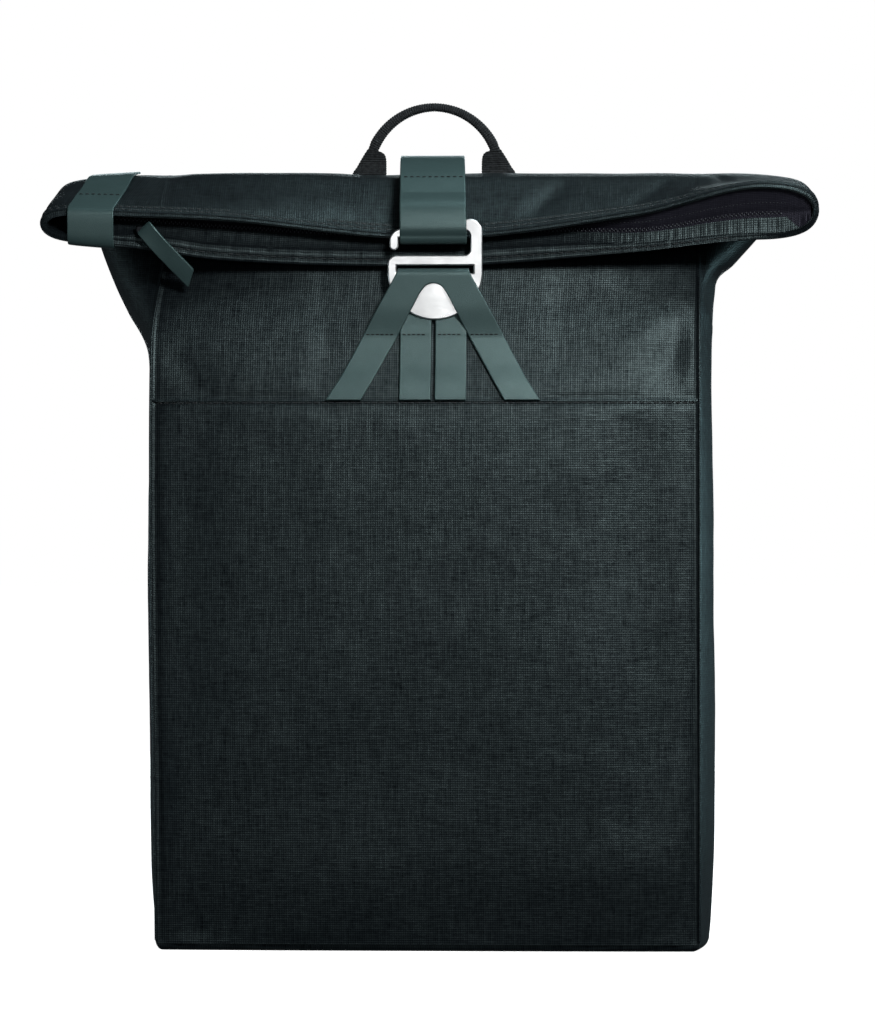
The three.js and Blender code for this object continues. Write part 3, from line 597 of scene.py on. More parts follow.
def sheet_face(loops, rounding, spacing):
    """Points and triangles inside the loops less the rounding, and the point at each place of the loops."""
    inner = [inset(loop, rounding) for loop in loops]
    edges, start = [], 0
    for loop in inner:
        edges += [(start + k, start + (k + 1) % len(loop)) for k in range(len(loop))]
        start += len(loop)
    low, high = loops[0].min(0), loops[0].max(0)
    axes = [np.arange(a + step / 2, b, step) for a, b, step in zip(low, high, spacing)]
    seeds = np.stack([grid.ravel() for grid in np.meshgrid(*axes)], 1)
    clear = [inset(loop, rounding + 0.45 * min(spacing)) for loop in loops]
    flat = np.concatenate([*inner, seeds[within(seeds, clear)]])
    verts, _, tris, source, _, _ = delaunay_2d_cdt([Vector(p) for p in flat], edges, [], 0, 1e-7)
    verts, tris = np.array([tuple(v) for v in verts]), np.array(tris)
    found = {old: new for new, olds in enumerate(source) for old in olds}
    return verts, tris[within(verts[tris].mean(1), inner)], found


def plate(name, node, loops, bend, thick, spacing, material, rounding):
    """Sheet with rounded edges, cut to flat loops, outline first, then holes, and bent by bend(x, w, n)."""
    angles = np.radians((60, 30, 0))
    rounds = list(zip(rounding * (1 - np.cos(angles)), thick / 2 - rounding + rounding * np.sin(angles)))
    rounds += [(distance, -height) for distance, height in rounds[::-1]]
    verts, cap, found = sheet_face(loops, rounding, spacing)
    count = len(verts)
    flat = [verts, verts]
    heights = [np.full(count, thick / 2), np.full(count, -thick / 2)]
    faces = cap.tolist() + (cap[:, ::-1] + count).tolist()
    total, start = 2 * count, 0
    for loop in loops:
        size = len(loop)
        top = [found[start + k] for k in range(size)]
        rings = [top]
        for distance, height in rounds:
            flat.append(inset(loop, distance))
            heights.append(np.full(size, height))
            rings.append(list(range(total, total + size)))
            total += size
        rings.append([k + count for k in top])
        for a, b in zip(rings, rings[1:]):
            faces += [[a[k], a[(k + 1) % size], b[(k + 1) % size], b[k]] for k in range(size)]
        start += size
    uv = np.concatenate(flat)
    points = bend(*uv.T, np.concatenate(heights))
    return stand_for(add_mesh(name, points, outward(points, faces), uv, material), node)


def strip(left, right, length, spacing):
    """Outline of a straight strip."""
    return resampled([(left, 0), (right, 0), (right, length), (left, length)], spacing)


def arc(x, z, radius, start, end, cells=10):
    angle = np.radians(np.linspace(start, end, cells + 1))
    return [(x + radius * math.cos(a), z + radius * math.sin(a)) for a in angle]


def along_path(path, across=(1.0, 0, 0)):
    """bend() for a flat strip along a path of (y, z) or of (x, y, z), and the path's length."""
    run = running(path)
    if path.shape[1] == 2:
        path = np.insert(path, 0, 0, axis=1)
    side = unit(np.array(across))
    out = unit(np.cross(side, tangents(path)))

    def bend(x, w, n):
        return read_at(path, run, w) + x[:, None] * side + n[:, None] * read_at(out, run, w)

    return bend, run[-1]


def stitch_parts(path, out, stitch=3.2, skip=0.9, radius=0.28):
    """Points of each stitch of a row that lies on a path, out being the way the surface faces."""
    run = running(path)
    turn = np.radians(np.arange(STITCH_SIDES) * 360 / STITCH_SIDES)[:, None]
    share, size = STITCH_RINGS.T
    arch = radius * (2.2 * np.sin(math.pi * share) ** 0.5 - 1.2)
    parts = []
    for start in np.arange(skip, run[-1] - stitch, stitch + skip):
        at = start + share * stitch
        centre, up = read_at(path, run, at), unit(read_at(out, run, at))
        side = np.cross(up, tangents(centre))
        ring = side[:, None] * np.cos(turn) + up[:, None] * np.sin(turn)
        middle = centre + up * arch[:, None]
        parts.append((middle[:, None] + ring * (radius * size)[:, None, None]).reshape(-1, 3))
    return parts


def stitched_across(bend, left, right, at, thick, count):
    """A row of stitches straight across the outer face of bent leather."""
    x = np.linspace(left, right, count)
    w = np.full_like(x, at)
    face = bend(x, w, np.full_like(x, thick / 2))
    return stitch_parts(face, face - bend(x, w, np.zeros_like(x)), *LEATHER_STITCH)


def stitching(name, rows, material):
    """All the stitches of one thread as one piece."""
    stitches = [stitch for row in rows for stitch in row]
    rings = len(STITCH_RINGS)
    size = rings * STITCH_SIDES
    ends = [list(range(STITCH_SIDES))[::-1], list(range(size - STITCH_SIDES, size))]
    one = quads(rings, STITCH_SIDES, wrap=True).tolist() + ends
    faces = [[v + size * k for v in face] for k in range(len(stitches)) for face in one]
    uv = np.tile(np.indices((rings, STITCH_SIDES))[::-1].reshape(2, -1).T, (len(stitches), 1))
    return add_mesh(name, np.concatenate(stitches), faces, uv, material, sharp=180)


# Materials
def shaded(colour, share):
    return tuple(share * c for c in colour)


def rgba(value):
    """A plain colour with its alpha; a socket as it is."""
    return (*value, 1) if isinstance(value, tuple) else value


class Shader:
    """A material and short ways to add nodes to it."""

    def __init__(self, name):
        self.material = bpy.data.materials.new(name)
        self.material.use_nodes = True
        self.tree = self.material.node_tree
        self.base = self.tree.nodes["Principled BSDF"]

    def put(self, socket, value):
        if isinstance(value, bpy.types.NodeSocket):
            self.tree.links.new(value, socket)
        else:
            socket.default_value = value

    def node(self, kind, inputs=(), out=0, **settings):
        made = self.tree.nodes.new("ShaderNode" + kind)
        for key, value in settings.items():
            setattr(made, key, value)
        for key, value in dict(inputs).items():
            self.put(made.inputs[key], value)
        return made.outputs[out]

    def math(self, operation, a, b=0.0):
        return self.node("Math", {0: a, 1: b}, operation=operation)

    def noise(self, vector, scale, detail=2.0, rough=0.5):
        return self.node("TexNoise", {"Vector": vector, "Scale": scale, "Detail": detail, "Roughness": rough})

    def remap(self, value, *limits):
        """Map Range: the limits are from, from, to, to."""
        return self.node("MapRange", {0: value, **dict(enumerate(limits, 1))})

    def ramp(self, value, *stops):
        made = self.tree.nodes.new("ShaderNodeValToRGB")
        self.put(made.inputs[0], value)
        elements = made.color_ramp.elements
        while len(elements) < len(stops):
            elements.new(0.5)
        for element, (position, colour) in zip(elements, stops):
            element.position = position
            element.color = (*colour, 1)
        return made.outputs[0]

    def blend(self, share, a, b):
        return self.node("Mix", {0: share, 6: rgba(a), 7: rgba(b)}, out=2, data_type="RGBA")

    def bump(self, height, strength, distance):
        return self.node("Bump", {"Height": height, "Strength": strength, "Distance": distance})

    def span(self):
        """Millimetres across and along the piece: as one vector, and each by itself."""
        plane = self.node("VectorMath", {0: self.node("UVMap", uv_map="span"), 3: 1000.0}, operation="SCALE")
        split = self.tree.nodes.new("ShaderNodeSeparateXYZ")
        self.put(split.inputs[0], plane)
        return plane, split.outputs[0], split.outputs[1]

    def vector(self, x, y, z=0.0):
        return self.node("CombineXYZ", {0: x, 1: y, 2: z})

    def finish(self, colour, roughness, normal=None, **sockets):
        self.put(self.base.inputs["Base Color"], rgba(colour))
        self.put(self.base.inputs["Roughness"], roughness)
        if normal is not None:
            self.put(self.base.inputs["Normal"], normal)
        for name, value in sockets.items():
            self.put(self.base.inputs[name.replace("_", " ")], value)
        return self.material


def woven(name, ground, dark, light, relief=0.00008, pitch=1.3):
    """Plain weave of dark filament yarn: raised threads both ways, thicker and thinner along their length,
    whose gleam runs from dark to light."""
    s = Shader(name)
    plane, u, v = s.span()
    threads, tones = [], []
    for across, along, slub, seed in ((u, v, 20.0, 0.0), (v, u, 11.0, 9.0)):
        number = s.math("FLOOR", s.math("DIVIDE", across, pitch))
        spot = s.vector(s.math("MULTIPLY", number, 3.7), s.math("DIVIDE", along, slub), seed)
        tones.append(s.noise(spot, 1.0, 3.0, 0.7))
        wave = s.math("SINE", s.math("MULTIPLY", across, 2 * math.pi / pitch))
        threads.append(s.math("MULTIPLY", wave, tones[-1]))
    height = s.math("ADD", *threads)
    tone = s.math("ADD", s.math("MULTIPLY", height, 0.3), s.math("ADD", *tones))
    rough = s.remap(s.noise(plane, 0.02, 3.0, 0.55), 0.3, 0.7, 0.5, 0.44)
    colour = s.ramp(tone, (0.5, shaded(ground, 0.7)), (1.0, ground))
    gleam = s.ramp(s.math("MULTIPLY", tone, 0.5), (0.25, dark), (0.75, light))
    return s.finish(colour, rough, s.bump(height, 0.6, relief), Specular_IOR_Level=1.0, Specular_Tint=gleam)


def hide(name, dark, light):
    """Grained leather, darker in its grain's creases as painted shade, with soft patches of wear."""
    s = Shader(name)
    plane = s.span()[0]
    drift = s.node("TexNoise", {"Vector": plane, "Scale": 0.5}, out=1)
    warped = s.node("VectorMath", {0: plane, 1: drift}, operation="ADD")
    cells = s.node("TexVoronoi", {"Vector": warped, "Scale": 1.15}, feature="DISTANCE_TO_EDGE")
    crease = s.ramp(cells, (0.0, (0, 0, 0)), (0.16, (1, 1, 1)))
    fine = s.noise(plane, 3.2, 4.0, 0.6)
    patch = s.noise(plane, 0.09, 4.0, 0.6)
    colour = s.ramp(patch, (0.3, dark), (0.7, light))
    # Darker towards the grain's creases, where the bump is lowest: painted shade.
    colour = s.blend(s.remap(crease, 0.0, 1.0, 0.3, 0.0), colour, shaded(dark, 0.45))
    height = s.math("ADD", s.math("MULTIPLY", crease, 0.6), fine)
    rough = s.remap(s.math("ADD", fine, patch), 0.6, 1.4, 0.43, 0.32)
    bump = s.bump(height, 0.3, 0.00014)
    return s.finish(colour, rough, bump, Specular_IOR_Level=1.0, Specular_Tint=(0.72, 1, 0.99, 1))


def ribbed(name, dark, light, pitch=1.3):
    """Webbing with ribs across it and yarns along it; its colour is lighter on the ribs and darker between
    them, which is painted shade.
    """
    s = Shader(name)
    _, u, v = s.span()
    rib = s.math("ABSOLUTE", s.math("SINE", s.math("MULTIPLY", v, math.pi / pitch)))
    yarn = s.math("ABSOLUTE", s.math("SINE", s.math("MULTIPLY", u, math.pi / 0.9)))
    tone = s.noise(s.vector(s.math("MULTIPLY", u, 1.4), s.math("MULTIPLY", v, 0.5)), 1.0, 3.0, 0.6)
    height = s.math("ADD", rib, s.math("MULTIPLY", yarn, 0.4))
    # Random yarn tone times the ribs' height: the darkness between the ribs is painted shade.
    painted_rib_shade = s.math("MULTIPLY", tone, s.math("ADD", 0.55, s.math("MULTIPLY", rib, 0.6)))
    colour = s.ramp(painted_rib_shade, (0.25, dark), (0.7, light))
    sheen = {"Specular_IOR_Level": 0.25, "Sheen_Weight": 0.08, "Sheen_Roughness": 0.5}
    return s.finish(colour, s.remap(tone, 0.0, 1.0, 0.9, 0.7), s.bump(height, 0.6, 0.0004), **sheen)


def satin_metal(name, colour):
    """Tumbled nickel: fine random scratches and a little cloudiness."""
    s = Shader(name)
    at = s.node("TexCoord", out=3)
    cloud = s.noise(at, 60.0, 4.0, 0.6)
    streak = s.noise(s.node("Mapping", {"Vector": at, "Scale": (300.0, 300.0, 5000.0)}), 1.0, 3.0, 0.6)
    tint = s.blend(s.math("MULTIPLY", cloud, 0.25), colour, shaded(colour, 0.82))
    rough = s.remap(s.math("ADD", streak, cloud), 0.6, 1.4, 0.26, 0.42)
    return s.finish(tint, rough, s.bump(streak, 0.08, 0.0001), Metallic=1.0)


def moulded(name, colour):
    """Matt moulded plastic with a spark-eroded texture."""
    s = Shader(name)
    at = s.node("TexCoord", out=3)
    fine = s.noise(at, 2600.0, 3.0, 0.6)
    tint = s.blend(s.noise(at, 90.0, 3.0, 0.5), colour, shaded(colour, 1.6))
    return s.finish(tint, s.remap(fine, 0.0, 1.0, 0.4, 0.62), s.bump(fine, 0.25, 0.0001))


def thread(name, colour):
    """Twisted thread."""
    s = Shader(name)
    _, u, v = s.span()
    ply = s.math("SINE", s.math("ADD", s.math("MULTIPLY", u, 1.05), s.math("MULTIPLY", v, 2.4)))
    tint = s.blend(s.remap(ply, -1.0, 1.0, 0.0, 1.0), colour, shaded(colour, 0.55))
    return s.finish(tint, s.remap(ply, -1.0, 1.0, 0.6, 0.8), s.bump(ply, 0.4, 0.0001))


CLOTH_SKIN = woven("melange_cloth", (0.003, 0.0042, 0.006), (0.02, 0.03, 0.035), (0.75, 0.99, 1))
TAPE_SKIN = woven("zip_tape_cloth", (0.005, 0.005, 0.008), (0.06, 0.06, 0.08), (0.2, 0.2, 0.26), 0.00004, 1.0)
HIDE_SKIN = hide("teal_leather", (0.034, 0.062, 0.062), (0.042, 0.074, 0.074))
WEB_SKIN = ribbed("black_webbing", (0.005, 0.006, 0.007), (0.04, 0.046, 0.05))
NICKEL_SKIN = satin_metal("satin_nickel", (0.86, 0.87, 0.87))
# A darkened copy of the satin nickel for the slider: painted shade of the mouth's recess that it sits in.
NICKEL_PAINTED_SHADE_SKIN = satin_metal("nickel_painted_shade", (0.02, 0.022, 0.025))
COIL_SKIN = moulded("zip_coil", (0.045, 0.05, 0.058))
PLASTIC_SKIN = moulded("black_plastic", (0.012, 0.012, 0.013))
CLOTH_THREAD = thread("cloth_thread", (0.05, 0.06, 0.064))
HIDE_THREAD = thread("leather_thread", (0.012, 0.017, 0.018))


# Cloth panels
def seam_shape(away):
    """A seam's thin proud lip and the shallow dip beside it, by distance from the seam."""
    return hump(away, 0.75, 0.9) - hump(away, 0.35, 1.5, 2.6)


def edge_shape(away):
    """The groove of the stitches along the pocket's top edge."""
    return hump(away, -1.1, POCKET_STITCH)


def lip_shape(away):
    """The upper front's folded edge, which lies on the pocket."""
    return hump(away, 0.75, 1.2) - hump(away, 0.2, 1.2, 2.8)


def panel(name, node, outer, inner, calm=1.0, first=None, last=None):
    """A sewn panel with folds, lips along its side seams and, if asked, shapes at its first and last row."""
    along, up = lengths(outer, 1), lengths(outer, 0)
    aside = np.minimum(along, along[:, -1:] - along)
    ends = np.minimum(up, up[-1:] - up)
    height = crumple(outer) * smoothstep(aside, 0, 16) * smoothstep(ends, 0, 9) * calm
    height += seam_shape(aside) * smoothstep(ends, 0, 3) * (1 - 0.85 * smoothstep(outer[..., 2], 384, 410))
    if first is not None:
        height += first(up) * smoothstep(aside, 0, 3)
    if last is not None:
        height += last(up[-1:] - up) * smoothstep(aside, 0, 3)
    out = normals(outer)
    out *= np.sign(((outer - inner) * out).sum(-1, keepdims=True))
    uv = joined(along - along[:, -1:] / 2, up[:, [up.shape[1] // 2]])
    outer, inner = outer + out * height[..., None], inner + out * (0.6 * height)[..., None]
    return stand_for(slab(name, outer, inner, uv, CLOTH_SKIN), node)


def rows_between(first, last, make, spacing):
    """Places along the spine for rows an even distance apart, closer at both ends."""
    fine = np.linspace(first, last, 600)
    run = running(make(fine[:, None], np.zeros((1, 1)))[:, 0])
    share = dense_ends(int(run[-1] / spacing), 6, 7 / run[-1])
    return np.interp(share * run[-1], run, fine)[:, None]


def closure_calm(points):
    """Near the closure the cloth lies flat, so that the leather sits on it."""
    x, z = points[..., 0] - CLOSURE_X, points[..., 2]
    return 1 - 0.85 * smoothstep(75 - np.abs(x), 0, 15) * smoothstep(z, 296, 312)


def pocket_proud(across):
    return POCKET_PROUD * smoothstep((1 - np.abs(across)) * SEAM, 0, POCKET_EDGE)


def make_panels():
    across = (2 * dense_ends(112, 9, 0.026) - 1)[None]
    around = (2 * dense_ends(40, 8, 0.07) - 1)[None]
    s = rows_between(BASE, POCKET, front_point, 2.9)
    outer, inner = front_point(s, across, 0.0, pocket_proud(across)), front_point(s, across, CLOTH)
    panel("pocket_panel_cloth", "pocket_panel", outer, inner, closure_calm(outer), last=edge_shape)

    s = rows_between(POCKET, MOUTH, front_point, 2.6)
    outer, inner = front_point(s, across), front_point(s, across, wall_at(s))
    panel("upper_front_cloth", "upper_front_panel", outer, inner, closure_calm(outer), first=lip_shape)

    for side, word in SIDES:
        s = rows_between(BASE, MOUTH, lambda s, around: gusset_point(s, side, around), 2.9)
        outer, inner = gusset_point(s, side, around), gusset_point(s, side, around, wall_at(s))
        panel(f"gusset_{word}_cloth", f"gusset_{word}", outer, inner, GUSSET_CALM)

    s = rows_between(BASE, YOKE, back_point, 3.2)
    outer, inner = back_point(s, across), back_point(s, across, CLOTH, BACK_PAD)
    back = panel("back_panel_cloth", "back_panel", outer, inner, last=seam_shape)

    s = rows_between(YOKE, MOUTH, back_point, 2.4)
    outer, inner = back_point(s, across), back_point(s, across, wall_at(s))
    panel("roll_top_cloth", "roll_top", outer, inner, first=seam_shape)


def make_seam_ridges():
    """The thin ridges along the two front seams."""
    z = np.linspace(*SEAM_RIDGE_ENDS, 160)
    s = np.interp(z, STATIONS[:YOKE + 1, 1], np.arange(YOKE + 1.0))[:, None]
    turn = np.linspace(0, 2 * math.pi, 10, endpoint=False)[None]
    ring = joined(np.cos(turn), np.sin(turn), 0 * turn) * SEAM_RIDGE
    for side, word in SIDES:
        rings = front_point(s, np.full_like(s, side)) + ring + np.array((side * 0.2, -0.5, 0))
        uv = joined(turn * SEAM_RIDGE, rings[:, :1, 2])
        tube(f"seam_ridge_{word}", rings, uv, CLOTH_SKIN)


def pocket_stitch_row():
    across = np.linspace(-0.985, 0.985, 500)
    s = np.full_like(across, POCKET - 0.7 * POCKET_STITCH / POCKET_ROW)
    points = front_point(s, across, 0.0, pocket_proud(across) - 0.75)
    return stitch_parts(points, np.broadcast_to(FORWARD, points.shape))


def make_base():
    """Tray under the walls, with a rounded rim."""
    turn = turns_around(np.linspace(0, 1, 81), np.linspace(0, 1, 41))
    loop = tube_outline(np.full_like(turn, BASE), turn)
    base = station(np.array(float(BASE)))
    outside = BASE_RADIUS - GAP / 2
    bends = [(outside, angle) for angle in np.linspace(90, 0, 10)]
    bends += [(outside - CLOTH, angle) for angle in np.linspace(0, 90, 8)]
    rings = []
    for radius, angle in bends:
        aside = BASE_RADIUS - radius * math.cos(math.radians(angle))
        ring = loop * (1 - aside / base["left"], 1 - aside / base["depth"], 0)
        rings.append(ring + (0, 0, outside - radius * math.sin(math.radians(angle))))
    rings = np.array(rings)
    stand_for(tube("base_panel_cloth", rings, rings[..., :2], CLOTH_SKIN), "base_panel")


# Mouth: hem, zip and end tab
def lower_hem(x):
    return mix(HEM_LOWER, HEM_RIGHT, smoothstep(x, 40, 150))


def hem_height(turn):
    return np.where(turn < 1, lower_hem((2 * turn - 1) * SEAM), np.interp(turn, *np.array(HEM_AROUND).T))


def hem_surface(turn, level, ahead):
    """Points at the mouth: turn round it, level in from the outer edge, and ahead of the lip or back along
    the cloth. Also the ways in and ahead there."""
    s = MOUTH + np.minimum(ahead, 0) / HEM_ROW_LENGTH
    step = 1e-3
    tangent = tube_outline(s, np.minimum(turn + step, 4 - 1e-9)) - tube_outline(s, np.maximum(turn - step, 0))
    onward = heading(station(s))
    inwards = unit(np.cross(onward, tangent))
    points = tube_outline(s, turn) + inwards * level[..., None] + onward * np.maximum(ahead, 0)[..., None]
    return points, inwards, onward


def make_hem():
    """The cloth's turned edge round the mouth: a grooved band on the lower lip, a plain rim elsewhere."""
    profile = np.array(HEM_PROFILE)
    section = spline(np.concatenate([profile, profile[:1]]), 3 * len(profile))[:-1]
    share, depth, ahead = section.T[:, None]
    turn = turns_around(np.linspace(0, 1, 150), dense_ends(46, 4, 0.03))[:, None]
    edge = tube_outline(np.full_like(turn, MOUTH), turn)[:, 0]
    pucker = waves(edge, HEM_WAVES)[:, None]
    level = share * hem_height(turn) * (1 + 0.05 * pucker) + depth
    grooved = 1 - smoothstep(turn, 1.0, 1.3) + smoothstep(turn, 3.7, 4.0)
    rim = np.where((share > 0.05) & (share < 0.95), RIM_AHEAD[0] + RIM_AHEAD[1] * share, ahead)
    relief = hem_height(turn) / HEM_LOWER
    lower = np.where(share > 0.05, mix(0.8, ahead, relief) - HEM_SLOPE * share * relief, ahead)
    forward = mix(rim, lower, grooved) + 0.2 * pucker * (ahead > -3)
    points = hem_surface(np.broadcast_to(turn, level.shape), level, forward)[0]
    girth = lengths(joined(share * 6 + depth, ahead), 1)
    uv = joined(running(edge)[:, None], girth)
    tube("mouth_hem", points, uv, CLOTH_SKIN, ring=True)


def hem_stitch_rows():
    """Two rows behind the lip all round, one along the lower hem and one on the tape."""
    turn = np.linspace(0.001, 3.999, 900)
    rows = []
    for back in (3.1, 7.0):
        points, inwards, _ = hem_surface(turn, np.full_like(turn, -0.1), np.full_like(turn, -back))
        rows.append(stitch_parts(points, -inwards))
    low = turn[turn < 1.1]
    points, _, onward = hem_surface(low, 0.5 * hem_height(low), np.full_like(low, 0.75))
    rows.append(stitch_parts(points, onward))
    x = np.linspace(60, ZIP_HALF, 300)
    behind = 0.3 + np.interp(TAPE_STITCH, *TAPE_PROFILE.T) * recess(x)
    tape = mouth_point(x, np.full_like(x, TAPE_STITCH), -behind)
    rows.append(stitch_parts(tape, heading(station(np.full_like(x, MOUTH))), *TAPE_THREAD))
    return rows


def recess(x):
    """How much deeper the zip sinks where the mouth is pressed shut."""
    return mix(5.0, 1.0, smoothstep(x, 60, 132))


def mouth_point(x, share, ahead):
    """Point inside the mouth, share of the way between the hems' inner edges."""
    s = MOUTH + np.minimum(ahead, 0) / HEM_ROW_LENGTH
    row = station(s)
    half = clear_half(row, x, 0.0)
    q = mix(-half + lower_hem(x) - 0.9, half - HEM + 0.4, share)
    return place(row, x, q) + heading(row) * np.maximum(ahead, 0)[..., None]


def make_tape():
    """The zip's tape, and the cloth's puckered facing along its lower edge."""
    share = np.linspace(0, 1, 26)[:, None]
    pucker = waves(joined(ZIP_X, 0.0, 0.0), FACING_WAVES) * np.sin(math.pi * np.clip(share / FACING, 0, 1))
    behind = FACING_PUCKER * pucker - np.interp(share, *TAPE_PROFILE.T) * recess(ZIP_X)
    face, back = (mouth_point(ZIP_X, share, behind - deep) for deep in (0, TAPE_THICK))
    tape = slab("zip_tape_and_facing", face, back, joined(ZIP_X, lengths(face, 0)), TAPE_SKIN)
    tape.data.materials.append(CLOTH_SKIN)
    rows, columns = len(share) - 1, ZIP_X.size - 1
    for polygon in list(tape.data.polygons)[:rows * columns]:
        row, column = divmod(polygon.index, columns)
        up = (row + 1) / rows
        covered = up <= FACING and ZIP_X[0, column] < FACING_END - FACING_SLANT * up / FACING
        polygon.material_index = int(covered)
    stand_for(tape, "zip_tape")


def make_teeth():
    """The coil, tooth by tooth, up and down in turn."""
    end = ZIP_HALF - TEETH_END
    count = int(2 * end / TEETH_PITCH)
    x = np.linspace(-end, end, count)
    centre = mouth_point(x, np.full(count, TEETH_SHARE), -TEETH_DEEP * recess(x))
    row = station(np.array(float(MOUTH)))
    turn = np.radians(row["turn"])
    tooth = np.linspace(-0.2, 1.3, 8)[:, None] * np.array((0, np.cos(turn), np.sin(turn)))
    out = np.broadcast_to(heading(row), tooth.shape)
    rows = []
    for k, middle in enumerate(centre):
        rows.append(stitch_parts(middle + (tooth if k % 2 else -tooth), out, *TOOTH))
    stand_for(stitching("zip_coil_teeth", rows, COIL_SKIN), "zip_teeth")


def make_slider():
    """Slider body on the teeth, and the leather puller that hangs from it."""
    seat = place(station(np.array(float(MOUTH))), np.array(SLIDER_X), np.array(0.0))
    half = PULLER_WIDTH / 2
    bend, length = along_path(evenly(spline(seat + PULLER_STEPS, 120), 0.5), PULLER_ACROSS)

    def upright(x, w, n):
        return np.stack([seat[0] + x, seat[1] + 0.6 - n, seat[2] + 0.6 + w], -1)

    def slim(x, w, n):
        thick = 0.8 + 0.2 * smoothstep(w, 0, 8)
        return bend(x, w, n * thick + 0.25 * np.sin(w / 7) * (1 - (x / half) ** 2))

    # The slider body takes the darkened nickel, which is painted shade.
    plate("zip_slider_body", "zip_slider", [resampled(SLIDER_BODY, 0.8)], upright, SLIDER_THICK,
          (2, 2), NICKEL_PAINTED_SHADE_SKIN, 0.8)
    loop = resampled([
        (-half + 0.8, 0), (half - 0.8, 0), (half, 1), (half, length - 5.6), (half - 0.4, length - 4.6),
        (-half + 1.2, length - 0.2), (-half + 0.4, length), (-half, length - 0.8), (-half, 1),
    ], 0.9)
    plate("zip_puller_leather", "zip_puller", [loop], slim, LEATHER, (1.6, 1.4), HIDE_SKIN, 0.55)


def make_end_tab():
    """Leather round the mouth's left end: over the upper lip, before the zip and under the lower lip. Returns
    its stitches."""
    steps = [(s, 1.0, 0.0) for s in np.linspace(MOUTH - TAB_START, MOUTH, 10)]
    steps += [(MOUTH, 0.86, 2.3), (MOUTH, 0.45, 3.3), (MOUTH, -0.45, 3.3), (MOUTH, -0.86, 2.3)]
    steps += [(s, -1.0, 0.0) for s in np.linspace(MOUTH, MOUTH - 1.6, 5)]
    s, side, ahead = spline(steps, 150).T[..., None]
    back = np.clip((MOUTH - s) / TAB_START, 0, 1) * smoothstep(side, 0, 1)
    column = np.linspace(*END_TAB, 12)
    x = column[None] + TAB_LEAN * back
    row = station(np.minimum(s, MOUTH) + 0 * x)
    cloth = side * clear_half(row, x, 0.0)
    folds = GUSSET_CALM * crumple(place(row, x, cloth)) * smoothstep(MOUTH - s, 0, 0.6)
    proud = GAP + TAB_THICK / 2 + 0.3 + folds
    grid = place(row, x, cloth + side * proud) + heading(row) * ahead[..., None]
    out = normals(grid)
    run = lengths(grid, 0).mean(1)

    def bend(x, w, n):
        r = np.interp(w, run, np.arange(len(run)))
        c = np.interp(x, column, np.arange(len(column)))
        r0, c0 = np.minimum(r.astype(int), len(run) - 2), np.minimum(c.astype(int), len(column) - 2)
        fr, fc = (r - r0)[:, None], (c - c0)[:, None]
        near, far = (
            [mix(g[r1, c0], g[r1, c0 + 1], fc) for g in (grid, out)] for r1 in (r0, r0 + 1)
        )
        middle, way = (mix(a, b, fr) for a, b in zip(near, far))
        return middle + way * n[:, None]

    loop = strip(*END_TAB, run[-1], 0.9)
    plate("end_tab_leather", "end_tab", [loop], bend, TAB_THICK, (2.4, 1.2), HIDE_SKIN, 0.5)
    sewn = run[np.argmax(s[:, 0] >= MOUTH - TAB_STITCH)]
    return [stitched_across(bend, END_TAB[0] + 0.8, END_TAB[1] - 0.8, sewn, TAB_THICK, 40)]


# Closure
def make_closure_strap():
    """Leather over the roll, round the hook's arm and back up behind itself. Returns its stitches."""
    arm_rise = ARM_SLOPE * STRAP_WIDTH / 2
    arm_high = ARM_TOP + arm_rise + 0.5
    arm_foot = ARM_TOP - HOOK_BAR - arm_rise - 0.5
    face = HOOK_Y - FOLD_RADIUS
    over = spline(STRAP_PATH, 160)
    front = spline([over[-1], (-55.4, 423.5), (face - 1.4, arm_high - 4), (face, arm_foot + 1)], 60)
    turn = arc(HOOK_Y, arm_foot, FOLD_RADIUS, 180, 360, 16)
    first = front[:25]
    way = tangents(first)
    behind = first + (LEATHER + GAP) * np.stack([-way[:, 1], way[:, 0]], -1)
    path = np.concatenate([over, front[1:], turn, [(HOOK_Y + FOLD_RADIUS, arm_high)], behind[::-1]])
    low = running(path)[len(over) + len(front) + 7]  # the loop's lowest point
    bend, length = along_path(evenly(path, 0.6))
    half = STRAP_WIDTH / 2

    def outside(x, w, n):
        back = 1 - smoothstep(np.minimum(w, 2 * low - w), 60, low)
        return bend(x * (1 - STRAP_TAPER * back) - STRAP_LEAN * back, w, -n) + CLOSURE

    plate("closure_strap_leather", "closure_strap", [strip(-half, half, length, 0.8)], outside,
          LEATHER, (2.6, 0.9), HIDE_SKIN, 0.7)
    return [stitched_across(outside, -half + 1.2, half - 1.2, at, LEATHER, 60) for at in STRAP_STITCHES]


def arm_top(x):
    return ARM_TOP + ARM_SLOPE * x


def hook_outline():
    half, near = HOOK_RADIUS, HOOK_RADIUS - HOOK_SIDE
    tip_x = 1 - half + HOOK_TIP
    outline = arc(0, HOOK_BOTTOM + half, half, 180, 360, 48)
    outline += arc(half - HOOK_CORNER, arm_top(half) - HOOK_CORNER, HOOK_CORNER, 0, 90)
    outline += arc(tip_x - HOOK_TIP + HOOK_CORNER, arm_top(-half) - HOOK_CORNER, HOOK_CORNER, 90, 180)
    outline += arc(tip_x, CROSSBAR_TOP + GATE + HOOK_TIP, HOOK_TIP, 180, 360)
    outline += [(tip_x + HOOK_TIP, arm_top(tip_x) - HOOK_BAR)]
    outline += arc(near - HOOK_SOFT, arm_top(near) - HOOK_BAR - HOOK_SOFT, HOOK_SOFT, 90, 0)
    outline += arc(near - HOOK_SOFT, CROSSBAR_TOP + HOOK_SOFT, HOOK_SOFT, 0, -90)
    return outline + arc(HOOK_EDGE - half, CROSSBAR_TOP - HOOK_EDGE, HOOK_EDGE, 90, 180)


